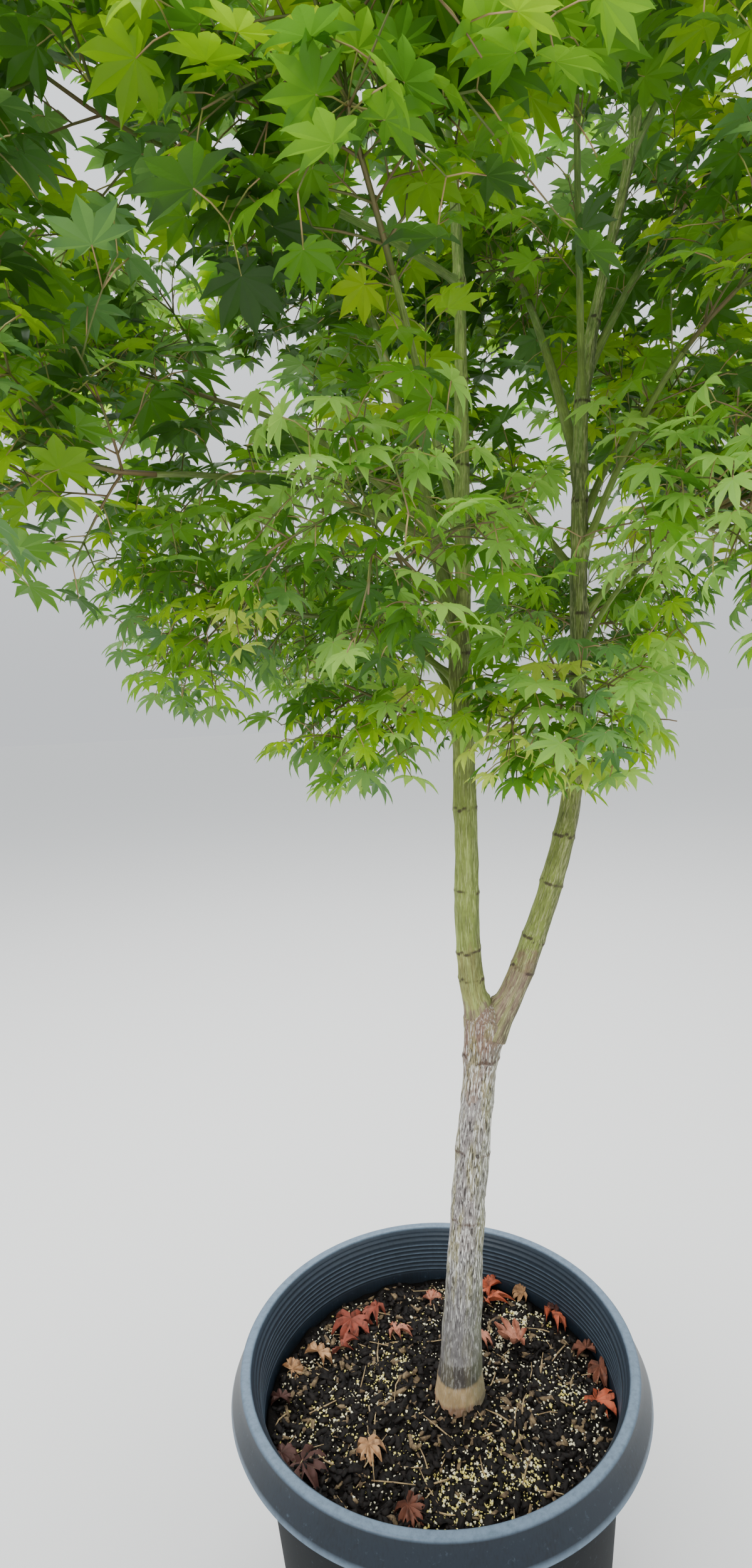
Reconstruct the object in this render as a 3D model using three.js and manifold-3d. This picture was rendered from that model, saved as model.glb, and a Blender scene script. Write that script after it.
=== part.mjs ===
// A young Japanese maple in a round nursery pot, in millimetres with +Z up.
// The origin is the middle of the pot's flat underside, and the front of the plant faces -Y.
// The trunk forks into two stems, boughs leave the stems, and each bough ends where it enters its own
// mass of foliage: one mass stem, twigs in opposite pairs, and leaves that each stand for a spray.
import * as THREE from "three";
import { mergeVertices } from "three/addons/utils/BufferGeometryUtils.js";
import Module from "manifold-3d";

const wasm = await Module();
wasm.setup();

// Driving dimensions

const GAP = 0.3; // between pieces that touch
const UP = new THREE.Vector3(0, 0, 1);

const POT = {
  height: 460,
  baseRadius: 230,
  baseRound: 12, // the rounded lower edge
  floorRadius: 215,
  floor: 6,
  wall: 4,
  shoulderRadius: 270, // the wall's outside just under the lip
  lipRadius: 290,
  lipInner: 274,
  skirtRadius: 305,
  skirtDrop: 45,
  skirtThickness: 4,
  lipThickness: 6,
  lipBevel: 4, // the lip's rounded edges
  flareDrop: 22, // from the rim down to where the wall turns out to the lip
  segments: 40,
};

// The drain openings at the foot of the wall. `proud` is how far their cutter stands out of the base.
const NOTCH = { count: 6, width: 30, height: 38, depth: 26, proud: 8, archSteps: 3 };

const MIX = { top: 374, flatRadius: 90, edgeDrop: 4 }; // the potting mix, mounded a little in the middle

// The trunk leans further as it rises. Its girth is [share of the length, diameter].
const TRUNK = {
  foot: [30, 5],
  below: 12, // its length under the flat cut, which takes it off
  top: [93, 5, 966],
  bendHeight: 666,
  bendX: 49,
  sides: 10,
  steps: 13,
  girth: [
    [0, 80],
    [0.05, 72],
    [0.1, 64],
    [0.22, 56],
    [0.4, 50.5],
    [0.6, 48.5],
    [0.86, 46],
    [0.94, 54],
    [0.98, 57],
    [1, 44],
  ],
};

// The two stems go through [x, y, height, diameter].
const STEMS = {
  left_stem: [
    [88, 5, 936, 40],
    [77, 4, 990, 35],
    [72, 4, 1060, 34.5],
    [75, 2, 1250, 32],
    [77, 1, 1400, 30],
    [76, 0, 1490, 29],
    [83, 0, 1550, 21.5],
    [89, 0, 1715, 19.5],
    [95, 0, 1990, 14],
    [86, 0, 2110, 12],
    [42, 0, 2212, 10.5],
    [22, 5, 2360, 9.5],
    [30, 12, 2560, 8],
  ],
  right_stem: [
    [98, 5, 932, 40],
    [131, 5, 990, 35],
    [180, 4, 1114, 32],
    [218, 3, 1240, 28.5],
    [232, 2, 1340, 23],
    [242, 1, 1590, 21.5],
    [254, 0, 1815, 17.5],
    [284, 20, 1940, 14],
    [336, 40, 2130, 12],
    [360, 60, 2335, 10],
    [350, 66, 2600, 8],
  ],
};
const STEM = { sides: 8, steps: 16 };

// Each bough leaves the limb `on` at the height `at` and heads for the middle of its own mass of
// foliage, which lies `reach` away at `azimuth` (degrees, 0 along +X and 90 along +Y) at `height`.
// `arch` lifts the middle of the bough, `girth` is its diameter at foot and tip, and `half` is the
// mass's half size along its heading, across it and upwards.
const BOUGHS = [
  ["low_left", "left_stem", 1352, 205, 150, 1425, 5, [7, 5], [165, 145, 125]],
  ["low_right", "right_stem", 1348, 250, 150, 1420, 5, [7, 5], [165, 155, 120]],
  ["low_back", "right_stem", 1395, 70, 235, 1530, 10, [9, 6], [230, 205, 155]],
  ["low_front", "left_stem", 1470, 246, 265, 1600, 20, [9, 6], [230, 195, 145]],
  ["front_right", "right_stem", 1455, 296, 255, 1605, 15, [9, 6], [230, 200, 155]],
  ["left_low", "left_stem", 1430, 172, 330, 1580, 25, [10, 6], [250, 215, 160]],
  ["back_left_low", "left_stem", 1390, 114, 320, 1570, 20, [10, 6], [240, 230, 170]],
  ["right_low", "right_stem", 1500, 8, 310, 1690, 25, [11, 7], [250, 230, 185]],
  ["long_left", "left_stem", 1595, 214, 580, 1720, 55, [11, 6], [260, 215, 180]],
  ["front_left", "left_stem", 1610, 252, 415, 1900, -20, [11, 7], [200, 245, 220]],
  ["upper_left", "left_stem", 1950, 219, 560, 2030, 30, [11, 6], [285, 230, 190]],
  ["left_back", "left_stem", 1492, 115, 385, 2080, -10, [25, 13], [260, 280, 245]],
  ["left_side", "left_back", 1640, 178, 420, 1895, 30, [12, 7], [260, 245, 215]],
  ["back_middle", "right_stem", 1565, 112, 390, 1810, 10, [12, 7], [240, 230, 190]],
  ["back_right", "right_stem", 1625, 52, 385, 1885, 20, [13, 7], [250, 245, 215]],
  ["right_back", "right_stem", 1700, 100, 330, 2085, 0, [16, 10], [240, 230, 220]],
  ["right_front", "right_stem", 1580, 318, 300, 1880, 15, [11, 7], [250, 230, 220]],
  ["right_upper", "right_stem", 1820, 28, 350, 2140, 0, [12, 8], [275, 255, 240]],
  ["front_middle", "right_stem", 1790, 256, 300, 2100, 5, [10, 7], [200, 230, 215]],
  ["high_left", "left_stem", 2120, 186, 380, 2360, 10, [9, 6], [260, 245, 225]],
  ["high_front", "left_stem", 2090, 262, 310, 2390, 0, [9, 6], [230, 255, 220]],
  ["high_back", "left_stem", 2180, 92, 300, 2455, 0, [9, 6], [240, 255, 240]],
  ["high_right", "right_stem", 2110, 4, 320, 2430, 5, [10, 7], [250, 245, 245]],
  ["high_right_back", "right_stem", 2210, 82, 280, 2500, 0, [9, 6], [240, 230, 240]],
  ["high_right_front", "right_stem", 2160, 290, 280, 2430, 5, [9, 6], [230, 230, 230]],
].map(([name, on, at, azimuth, reach, height, arch, girth, half]) => {
  return { name, on, at, azimuth, reach, height, arch, girth, half };
});

// The foliage on a stem's own tip: the mass's middle lies `rise` above the tip.
const TIPS = [
  { name: "left_top", on: "left_stem", azimuth: 200, shift: 30, rise: 190, half: [260, 255, 290] },
  { name: "right_top", on: "right_stem", azimuth: 20, shift: 25, rise: 215, half: [255, 250, 315] },
];

// A bough's tip stands at `entry` of its mass's half size from the middle, and `sink` of it lower down.
const BOUGH = { sides: 5, steps: 4, entry: 0.62, sink: 0.3, rise: 0.12 };
const MARGIN = { space: 2, limb: 1.5 }; // from foliage to its space's bounding planes, and to the limbs

// A mass's own stem runs past its middle, bending up, and stops `short` of its space's edge.
const MASS_STEM = {
  radius: 5,
  tip: 3.6,
  sides: 4,
  steps: 3,
  beyond: 0.4, // of the mass's half size, past its middle
  lift: 0.25,
  bend: 0.45,
  short: 110,
  least: 40,
};
// Twigs leave the mass stem in opposite pairs at `shares` of its length, each pair a quarter turn on.
const TWIG = {
  radius: 2.4,
  tip: 2.3,
  shares: [0.3, 0.62, 0.9],
  fork: 58, // degrees from the mass stem
  lift: 0.12,
  least: 26,
  most: 170,
};
const WOBBLE = { roll: 0.9, fork: 16, face: 0.9, side: 1.1 }; // how far a draw turns each of them
// A leaf that would touch something is tried again at the smaller sizes, and then skipped.
const LEAF = {
  length: 172,
  spread: 0.14,
  stalk: 1.15,
  droop: 0.55,
  apart: 1,
  sizes: [1, 0.88, 0.77, 0.66, 0.56],
};
const SIDE_LEAF = { share: 0.5, forward: 0.45, aside: 0.9, droop: 0.27, size: 0.96 };
const CROWD = { tip: 0.85, least: 0.6 }; // leaf lengths of room left beyond a twig, and needed for one
const STRIDE = { step: 6, most: 600 }; // how a mass's space is paced out
const UPRIGHT = 0.2; // a direction with less than this of level in it counts as upright

const SEED = { first: 1000, step: 37 };

// A leaf's three lobes as [share of its length, half width, thickness], from its side lobes to its tip.
const LEAF_RINGS = [
  [0.4, 0.58, 0.034],
  [0.48, 0.26, 0.034],
  [1, 0, 0],
];

// Solids

const WELD = 1e-4;

// A closed three.js geometry as a solid: shared corners are merged, and faces with no area are dropped.
function solidOf(geometry) {
  geometry.deleteAttribute("normal");
  geometry.deleteAttribute("uv");
  const merged = mergeVertices(geometry, WELD);
  const corners = merged.index.array;
  const kept = [];
  for (let i = 0; i < corners.length; i += 3) {
    const [a, b, c] = [corners[i], corners[i + 1], corners[i + 2]];
    if (a !== b && b !== c && c !== a) kept.push(a, b, c);
  }
  return new wasm.Manifold(
    new wasm.Mesh({
      numProp: 3,
      vertProperties: merged.attributes.position.array,
      triVerts: new Uint32Array(kept),
    }),
  );
}

// The largest body of a solid, which also fills sealed hollows and drops loose scraps.
function mainBody(solid) {
  const volume = (body) => body.volume();
  return solid.decompose().sort((a, b) => volume(b) - volume(a))[0];
}

// A named mesh whose own origin is at `place`.
function meshOf(name, solid, place, material) {
  const { numProp, vertProperties, triVerts } = solid.getMesh();
  const count = vertProperties.length / numProp;
  const positions = new Float32Array(count * 3);
  for (let i = 0; i < count; i++) {
    for (const [k, offset] of place.toArray().entries()) {
      positions[3 * i + k] = vertProperties[numProp * i + k] - offset;
    }
  }
  const geometry = new THREE.BufferGeometry();
  geometry.setAttribute("position", new THREE.BufferAttribute(positions, 3));
  geometry.setIndex(new THREE.BufferAttribute(new Uint32Array(triVerts), 1));
  geometry.computeVertexNormals();
  const mesh = new THREE.Mesh(geometry, material);
  mesh.name = name;
  mesh.position.copy(place);
  return mesh;
}

// A value between the stations [share, value] of a table.
function between(stations, share) {
  const next = Math.max(1, stations.findIndex(([at]) => at >= share));
  const [a, from] = stations[next - 1];
  const [b, to] = stations[next];
  return from + ((to - from) * (share - a)) / (b - a);
}

// A cylinder bent along a curve, with the radius that `radiusAt` gives for each share of its length,
// and `overrun` longer at both ends.
function limbSolid(curve, radiusAt, sides, steps, overrun = 0) {
  const geometry = new THREE.CylinderGeometry(1, 1, 1, sides, steps);
  const { tangents, normals, binormals } = curve.computeFrenetFrames(steps, false);
  const position = geometry.getAttribute("position");
  for (let i = 0; i < position.count; i++) {
    const share = position.getY(i) + 0.5;
    const step = Math.round(share * steps);
    const radius = radiusAt(share);
    const past = step === 0 ? -overrun : step === steps ? overrun : 0;
    const point = curve
      .getPointAt(step / steps)
      .addScaledVector(tangents[step], past)
      .addScaledVector(normals[step], position.getX(i) * radius)
      .addScaledVector(binormals[step], -position.getZ(i) * radius);
    position.setXYZ(i, point.x, point.y, point.z);
  }
  return solidOf(geometry);
}

// A seeded source of numbers from 0 to 1, so that the same plant grows each time.
function dice(seed) {
  const [factor, step, span] = [1664525, 1013904223, 2 ** 32];
  let state = seed;
  return () => {
    state = (state * factor + step) % span;
    return state / span;
  };
}

// Pot and potting mix

const wallOuter = (z) => POT.baseRadius + ((POT.shoulderRadius - POT.baseRadius) * z) / POT.height;
const wallInner = (z) => wallOuter(z) - POT.wall;

function turned(profile) {
  const points = profile.map(([radius, z]) => new THREE.Vector2(radius, z));
  return solidOf(new THREE.LatheGeometry(points, POT.segments).rotateX(Math.PI / 2));
}

// One drain opening: an arch through the foot of the wall, on the +X side.
function drainNotch() {
  const half = NOTCH.width / 2;
  const arch = new THREE.Shape();
  arch.moveTo(-half, -1);
  arch.lineTo(half, -1);
  arch.lineTo(half, NOTCH.height - half);
  arch.absarc(0, NOTCH.height - half, half, 0, Math.PI, false);
  arch.closePath();
  const options = { depth: NOTCH.depth, bevelEnabled: false, curveSegments: NOTCH.archSteps };
  const prism = new THREE.ExtrudeGeometry(arch, options);
  prism.rotateX(Math.PI / 2).rotateZ(Math.PI / 2);
  prism.translate(POT.baseRadius + NOTCH.proud - NOTCH.depth, 0, 0);
  return prism;
}

function potSolid() {
  const { height, baseRadius, baseRound, floor, floorRadius, wall, lipRadius, lipInner } = POT;
  const { skirtRadius, skirtDrop, skirtThickness, lipThickness, lipBevel, flareDrop } = POT;
  const skirtFoot = height - skirtDrop;
  const underLip = height - lipThickness;
  const flareFoot = height - flareDrop;
  const profile = [
    [0, 0],
    [baseRadius - baseRound, 0],
    [wallOuter(baseRound), baseRound],
    [wallOuter(flareFoot), flareFoot],
    [lipInner + wall, underLip],
    [lipRadius - skirtThickness, underLip],
    [skirtRadius - skirtThickness, skirtFoot],
    [skirtRadius, skirtFoot],
    [lipRadius, height - lipBevel],
    [lipRadius - lipBevel, height],
    [lipInner + lipBevel, height],
    [lipInner, height - lipBevel],
    [wallInner(flareFoot), flareFoot],
    [wallInner(floor + baseRound), floor + baseRound],
    [floorRadius, floor],
    [0, floor],
  ];
  let pot = turned(profile);
  for (let i = 0; i < NOTCH.count; i++) {
    const angle = ((i + 0.5) / NOTCH.count) * 2 * Math.PI;
    pot = pot.subtract(solidOf(drainNotch().rotateZ(angle)));
  }
  return pot;
}

function mixSolid() {
  const foot = POT.floor + GAP;
  const corner = foot + POT.baseRound;
  const edge = MIX.top - MIX.edgeDrop;
  return turned([
    [0, foot],
    [POT.floorRadius - GAP, foot],
    [wallInner(corner) - GAP, corner],
    [wallInner(edge) - GAP, edge],
    [MIX.flatRadius, MIX.top],
    [0, MIX.top],
  ]);
}

// Trunk, stems and boughs

// The space below the flat cut, which nothing of the trunk reaches into.
function belowCut() {
  const [x, y] = TRUNK.foot;
  const size = 2 * POT.baseRadius;
  const box = new THREE.BoxGeometry(size, size, size);
  return solidOf(box.translate(x, y, MIX.top + GAP - size / 2));
}

// Each limb keeps its curve, its radius by share of length, its solid, and the same solid made GAP
// larger all round, which cuts the limbs that it carries.
const limbs = new Map();

function addLimb(name, curve, radiusAt, sides, steps, carriers) {
  let solid = limbSolid(curve, radiusAt, sides, steps);
  for (const carrier of carriers) solid = solid.subtract(limbs.get(carrier).swollen);
  if (!carriers.length) solid = solid.subtract(belowCut());
  const swell = GAP / Math.cos(Math.PI / sides);
  const swollen = limbSolid(curve, (share) => radiusAt(share) + swell, sides, steps, GAP);
  limbs.set(name, { curve, solid: mainBody(solid), swollen });
}

function addTrunk() {
  const [x, y] = TRUNK.foot;
  const curve = new THREE.QuadraticBezierCurve3(
    new THREE.Vector3(x, y, MIX.top - TRUNK.below),
    new THREE.Vector3(TRUNK.bendX, y, TRUNK.bendHeight),
    new THREE.Vector3(...TRUNK.top),
  );
  addLimb("trunk", curve, (share) => between(TRUNK.girth, share) / 2, TRUNK.sides, TRUNK.steps, []);
}

function addStem(name, carriers) {
  const stations = STEMS[name];
  const points = stations.map(([x, y, z]) => new THREE.Vector3(x, y, z));
  const [low, high] = [stations[0][2], stations.at(-1)[2]];
  const curve = new THREE.CatmullRomCurve3(points, false, "centripetal");
  const girth = stations.map(([, , z, diameter]) => [z, diameter]);
  const heightAt = (share) => Math.min(high, Math.max(low, curve.getPointAt(Math.min(1, share)).z));
  addLimb(name, curve, (share) => between(girth, heightAt(share)) / 2, STEM.sides, STEM.steps, carriers);
}

// The point of a rising curve at a height.
function pointAtHeight(curve, height) {
  let [low, high] = [0, 1];
  while (high - low > 1e-4) {
    const middle = (low + high) / 2;
    if (curve.getPointAt(middle).z < height) low = middle;
    else high = middle;
  }
  return curve.getPointAt(low);
}

// The level unit vector at `azimuth` degrees.
function headingOf(azimuth) {
  const angle = THREE.MathUtils.degToRad(azimuth);
  return new THREE.Vector3(Math.cos(angle), Math.sin(angle), 0);
}

// A bough's curve rises from its foot and flattens towards the near side of its mass.
function addBough(bough) {
  const foot = pointAtHeight(limbs.get(bough.on).curve, bough.at);
  const heading = headingOf(bough.azimuth);
  const middle = foot.clone().addScaledVector(heading, bough.reach).setZ(bough.height);
  const tip = middle.clone().addScaledVector(heading, -BOUGH.entry * bough.half[0]);
  tip.z -= BOUGH.sink * bough.half[2];
  const knee = foot.clone().lerp(tip, 0.5);
  knee.z += bough.arch + BOUGH.rise * (tip.z - foot.z);
  const curve = new THREE.QuadraticBezierCurve3(foot, knee, tip);
  const [wide, narrow] = bough.girth;
  const radiusAt = (share) => THREE.MathUtils.lerp(wide, narrow, share) / 2;
  addLimb(bough.name, curve, radiusAt, BOUGH.sides, BOUGH.steps, [bough.on]);
  return { name: bough.name, limb: bough.name, heading, middle, half: bough.half };
}

function addTip(tip) {
  const end = limbs.get(tip.on).curve.getPointAt(1);
  const heading = headingOf(tip.azimuth);
  const middle = end.clone().addScaledVector(heading, tip.shift);
  middle.z += tip.rise;
  return { name: tip.name, limb: tip.on, heading, middle, half: tip.half };
}

// Foliage

// How far a point lies inside a mass's own space: its ellipsoid, cut by the planes that part it from
// the other masses. The planes lie nearer to the smaller of the two.
function depthInSpace(point, mass, masses) {
  const across = new THREE.Vector3().crossVectors(UP, mass.heading);
  const away = point.clone().sub(mass.middle);
  const [a, b, c] = mass.half;
  const shell = Math.hypot(away.dot(mass.heading) / a, away.dot(across) / b, away.z / c);
  let depth = (1 - shell) * Math.min(a, b, c);
  const own = away.lengthSq() - mass.weight;
  for (const other of masses) {
    if (other === mass) continue;
    const theirs = point.distanceToSquared(other.middle) - other.weight;
    const plane = (theirs - own) / (2 * mass.middle.distanceTo(other.middle));
    depth = Math.min(depth, plane - MARGIN.space);
  }
  return depth;
}

// How far one can go from a point in a direction and stay in the mass's space.
function reachInSpace(from, direction, mass, masses) {
  let gone = 0;
  const point = from.clone();
  while (gone < STRIDE.most) {
    point.addScaledVector(direction, STRIDE.step);
    if (depthInSpace(point, mass, masses) < 0) break;
    gone += STRIDE.step;
  }
  return gone;
}

// A unit vector at right angles to `along`, turned `roll` radians round it from the level one.
function sideOf(along, roll) {
  const level = new THREE.Vector3().crossVectors(along, UP);
  if (level.length() < UPRIGHT) level.set(1, 0, 0).addScaledVector(along, -along.x);
  level.normalize();
  return level.applyAxisAngle(along, roll);
}

// A leaf's placing: its blade runs from `root` along `along`, its face turned up and rolled a little.
function leafFrame(root, along, roll) {
  const face = UP.clone().addScaledVector(along, -along.z);
  if (face.length() < UPRIGHT) face.copy(sideOf(along, 0));
  face.normalize().applyAxisAngle(along, roll);
  const side = new THREE.Vector3().crossVectors(along, face);
  return new THREE.Matrix4().makeBasis(side, along, face).setPosition(root);
}

// A three-sided cylinder whose rings are [place, half width, thickness], set across `frame`.
function ringedSolid(rings, frame) {
  const [side, , face] = [0, 1, 2].map((k) => new THREE.Vector3().setFromMatrixColumn(frame, k));
  const geometry = new THREE.CylinderGeometry(1, 1, 1, 3, rings.length - 1);
  const position = geometry.getAttribute("position");
  for (let i = 0; i < position.count; i++) {
    const [middle, width, thickness] = rings[Math.round((position.getY(i) + 0.5) * (rings.length - 1))];
    const point = middle
      .clone()
      .addScaledVector(side, (position.getX(i) * width) / Math.sin(Math.PI / 3))
      .addScaledVector(face, (position.getZ(i) * thickness) / 1.5);
    position.setXYZ(i, point.x, point.y, point.z);
  }
  return solidOf(geometry);
}

// A round rod's ring, for ringedSolid.
const rodRing = (middle, radius) => [middle, radius * Math.sin(Math.PI / 3), 1.5 * radius];

// A leaf's rings in its frame: the lobes widen from its root, draw in at the notches and close at the tip.
const bladeRings = (length, frame) =>
  LEAF_RINGS.map(([at, half, thick]) => [
    new THREE.Vector3(0, at * length, 0).applyMatrix4(frame),
    half * length,
    thick * length,
  ]);

// The outermost points of a leaf.
const bladeCorners = (length, frame) =>
  LEAF_RINGS.flatMap(([at, half]) => [-half, half].map((u) => new THREE.Vector3(u, at, 0)))
    .map((corner) => corner.multiplyScalar(length).applyMatrix4(frame));

const near = (one, other, margin) => one.minGap(other, margin) < margin;

// One mass of foliage, which grows its stem, its twigs and their leaves and fuses them.
class Foliage {
  constructor(mass, masses, woods, seed) {
    Object.assign(this, { mass, masses, woods });
    this.random = dice(seed);
    this.rods = []; // the bare stem and twigs
    this.blades = []; // the bare leaves
    this.pieces = []; // what is fused
    this.growStem();
    this.growStemLeaf();
    const pairs = TWIG.shares.flatMap((share, node) => [0, Math.PI].map((hand) => [share, node, hand]));
    const twigs = pairs.map((place) => this.growTwig(...place)).filter((twig) => twig);
    for (const twig of twigs) this.growTipLeaf(twig);
    for (const twig of twigs) this.growSideLeaf(twig);
    this.solid = mainBody(wasm.Manifold.union(this.pieces));
  }

  // A draw that runs evenly from -span/2 to span/2.
  wobble(drawn, span) {
    return (drawn - 0.5) * span;
  }

  // The stem sets out as its limb ends and bends towards the far side of the mass.
  growStem() {
    const { mass, masses } = this;
    const limb = limbs.get(mass.limb);
    const forward = limb.curve.getTangentAt(1);
    this.root = limb.curve.getPointAt(1).addScaledVector(forward, GAP);
    const target = mass.middle.clone().addScaledVector(mass.heading, MASS_STEM.beyond * mass.half[0]);
    target.z += MASS_STEM.lift * mass.half[2];
    const away = target.sub(this.root);
    const wanted = away.length();
    const reach = reachInSpace(this.root, away.normalize(), mass, masses);
    const length = Math.max(MASS_STEM.least, Math.min(wanted, reach - MASS_STEM.short));
    const bend = this.root.clone().addScaledVector(forward, MASS_STEM.bend * length);
    const end = this.root.clone().addScaledVector(away, length);
    this.stem = new THREE.QuadraticBezierCurve3(this.root, bend, end);
    const radiusAt = (share) => THREE.MathUtils.lerp(MASS_STEM.radius, MASS_STEM.tip, share);
    this.rods.push(limbSolid(this.stem, radiusAt, MASS_STEM.sides, MASS_STEM.steps));
    this.pieces.push(this.rods[0]);
  }

  growStemLeaf() {
    const forward = this.stem.getTangentAt(1);
    const foot = this.stem.getPointAt(1).addScaledVector(forward, -LEAF.stalk);
    const leaf = this.leafThatFits(leafFrame(foot, forward, 0), 1, this.rods[0]);
    if (leaf) this.keepLeaf(leaf);
  }

  // The largest leaf that stays in the space, and clear of the limbs, the other leaves and other twigs.
  leafThatFits(frame, size, bearer) {
    const { mass, masses, woods } = this;
    const foot = new THREE.Vector3().setFromMatrixPosition(frame);
    for (const share of LEAF.sizes) {
      const length = LEAF.length * size * share;
      if (bladeCorners(length, frame).some((corner) => depthInSpace(corner, mass, masses) < 0)) continue;
      const rings = [rodRing(foot, LEAF.stalk), ...bladeRings(length, frame)];
      const blade = ringedSolid(rings, frame);
      if (near(blade, woods, MARGIN.limb)) continue;
      if (this.blades.some((other) => near(other, blade, LEAF.apart))) continue;
      if (this.rods.some((rod) => rod !== bearer && near(rod, blade, LEAF.apart))) continue;
      return { blade, rings };
    }
    return null;
  }

  keepLeaf(leaf) {
    this.blades.push(leaf.blade);
    this.pieces.push(leaf.blade);
  }

  // A twig runs out until there is room for just its leaf. It is skipped where it would touch a limb.
  growTwig(share, node, hand) {
    const [base, along] = [this.stem.getPointAt(share), this.stem.getTangentAt(share)];
    const roll = node * (Math.PI / 2) + this.wobble(this.random(), WOBBLE.roll) + hand;
    const fork = THREE.MathUtils.degToRad(TWIG.fork + this.wobble(this.random(), WOBBLE.fork));
    const draws = Array.from({ length: 6 }, () => this.random());
    const direction = along.clone().multiplyScalar(Math.cos(fork));
    direction.addScaledVector(sideOf(along, roll), Math.sin(fork));
    direction.z += TWIG.lift;
    direction.normalize();
    const room = reachInSpace(base, direction, this.mass, this.masses);
    if (room < LEAF.length * CROWD.least) return null;
    const run = Math.max(TWIG.least, Math.min(TWIG.most, room - LEAF.length * CROWD.tip));
    const tip = base.clone().addScaledVector(direction, run);
    const droop = direction.clone();
    droop.z -= LEAF.droop;
    const [tipRoll, tipSize, ...sideDraws] = draws;
    const frame = leafFrame(tip, droop.normalize(), this.wobble(tipRoll, WOBBLE.face));
    const rings = [rodRing(base, TWIG.radius), rodRing(tip, TWIG.tip)];
    const rod = ringedSolid(rings, frame);
    if (near(rod, this.woods, MARGIN.limb)) return null;
    if (this.blades.some((blade) => near(rod, blade, LEAF.apart))) return null;
    this.rods.push(rod);
    return { rod, rings, base, tip, direction, frame, tipSize, sideDraws, bare: true };
  }

  // The leaf at a twig's tip is one piece with the twig.
  growTipLeaf(twig) {
    const leaf = this.leafThatFits(twig.frame, 1 + this.wobble(twig.tipSize, LEAF.spread), twig.rod);
    if (!leaf) return;
    this.blades.push(leaf.blade);
    this.pieces.push(ringedSolid([...twig.rings, ...leaf.rings.slice(1)], twig.frame));
    twig.bare = false;
  }

  growSideLeaf(twig) {
    const [hand, turn, roll, size] = twig.sideDraws;
    const along = twig.direction.clone().multiplyScalar(SIDE_LEAF.forward);
    const side = sideOf(twig.direction, Math.round(hand) * Math.PI + this.wobble(turn, WOBBLE.side));
    along.addScaledVector(side, SIDE_LEAF.aside);
    along.z -= SIDE_LEAF.droop;
    const foot = twig.base.clone().lerp(twig.tip, SIDE_LEAF.share);
    const frame = leafFrame(foot, along.normalize(), this.wobble(roll, WOBBLE.side));
    const leaf = this.leafThatFits(frame, SIDE_LEAF.size + this.wobble(size, LEAF.spread), twig.rod);
    if (!leaf) return;
    this.keepLeaf(leaf);
    if (twig.bare) this.pieces.push(twig.rod);
    twig.bare = false;
  }
}

// Finishes

const finish = (color, roughness) => new THREE.MeshStandardMaterial({ color, roughness, metalness: 0 });

const FINISH = {
  pot: finish("#1c2126", 0.5),
  mix: finish("#2b211a", 0.95),
  trunk: finish("#8f877a", 0.85),
  stem: finish("#8a9550", 0.7),
  bough: finish("#6f8546", 0.7),
  leafLow: finish("#7fae3a", 0.55),
  leafMiddle: finish("#4f8a2c", 0.55),
  leafHigh: finish("#3c7428", 0.55),
};

// Lower foliage is the palest. These are the tops of its low and middle storeys.
const STOREY = { low: 1650, middle: 2150 };

function leafFinish(height) {
  if (height < STOREY.low) return FINISH.leafLow;
  return height < STOREY.middle ? FINISH.leafMiddle : FINISH.leafHigh;
}

// Assembly

const plant = new THREE.Group();
plant.name = "potted_maple";

const container = new THREE.Group();
container.add(meshOf("pot", potSolid(), new THREE.Vector3(), FINISH.pot));
container.add(meshOf("potting_mix", mixSolid(), new THREE.Vector3(0, 0, POT.floor), FINISH.mix));
plant.add(container);

addTrunk();
addStem("left_stem", ["trunk"]);
addStem("right_stem", ["trunk", "left_stem"]);
const masses = [...BOUGHS.map(addBough), ...TIPS.map(addTip)];
for (const mass of masses) mass.weight = Math.cbrt(mass.half[0] * mass.half[1] * mass.half[2]) ** 2;

const wood = new THREE.Group();
for (const [name, { solid, curve }] of limbs) {
  const place = curve.getPointAt(0);
  if (name === "trunk") wood.add(meshOf(name, solid, place, FINISH.trunk));
  else if (STEMS[name]) wood.add(meshOf(name, solid, place, FINISH.stem));
  else wood.add(meshOf(name + "_bough", solid, place, FINISH.bough));
}
plant.add(wood);

const woods = wasm.Manifold.union([...limbs.values()].map(({ solid }) => solid));
const crown = new THREE.Group();
for (const [index, mass] of masses.entries()) {
  const { solid, root } = new Foliage(mass, masses, woods, SEED.first + SEED.step * index);
  crown.add(meshOf(mass.name + "_leaves", solid, root, leafFinish(mass.middle.z)));
}
plant.add(crown);

export default plant;
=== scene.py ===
"""The looks of a young Japanese maple in its nursery pot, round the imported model.

Lengths are metres, except where a name ends in _mm or a comment says millimetres, and +Z is up. The
front of the plant faces -Y. The trunk, stems, boughs and masses of foliage follow the same curves and
the same seeded rule as the solids that they replace, and the rule is carried on from twigs to short
side shoots, leaf stalks and leaves.
"""

import logging
import math
from collections.abc import Callable
from dataclasses import dataclass, field
from enum import Enum

import bpy
import numpy as np
from mathutils import Matrix, Vector, kdtree


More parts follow.
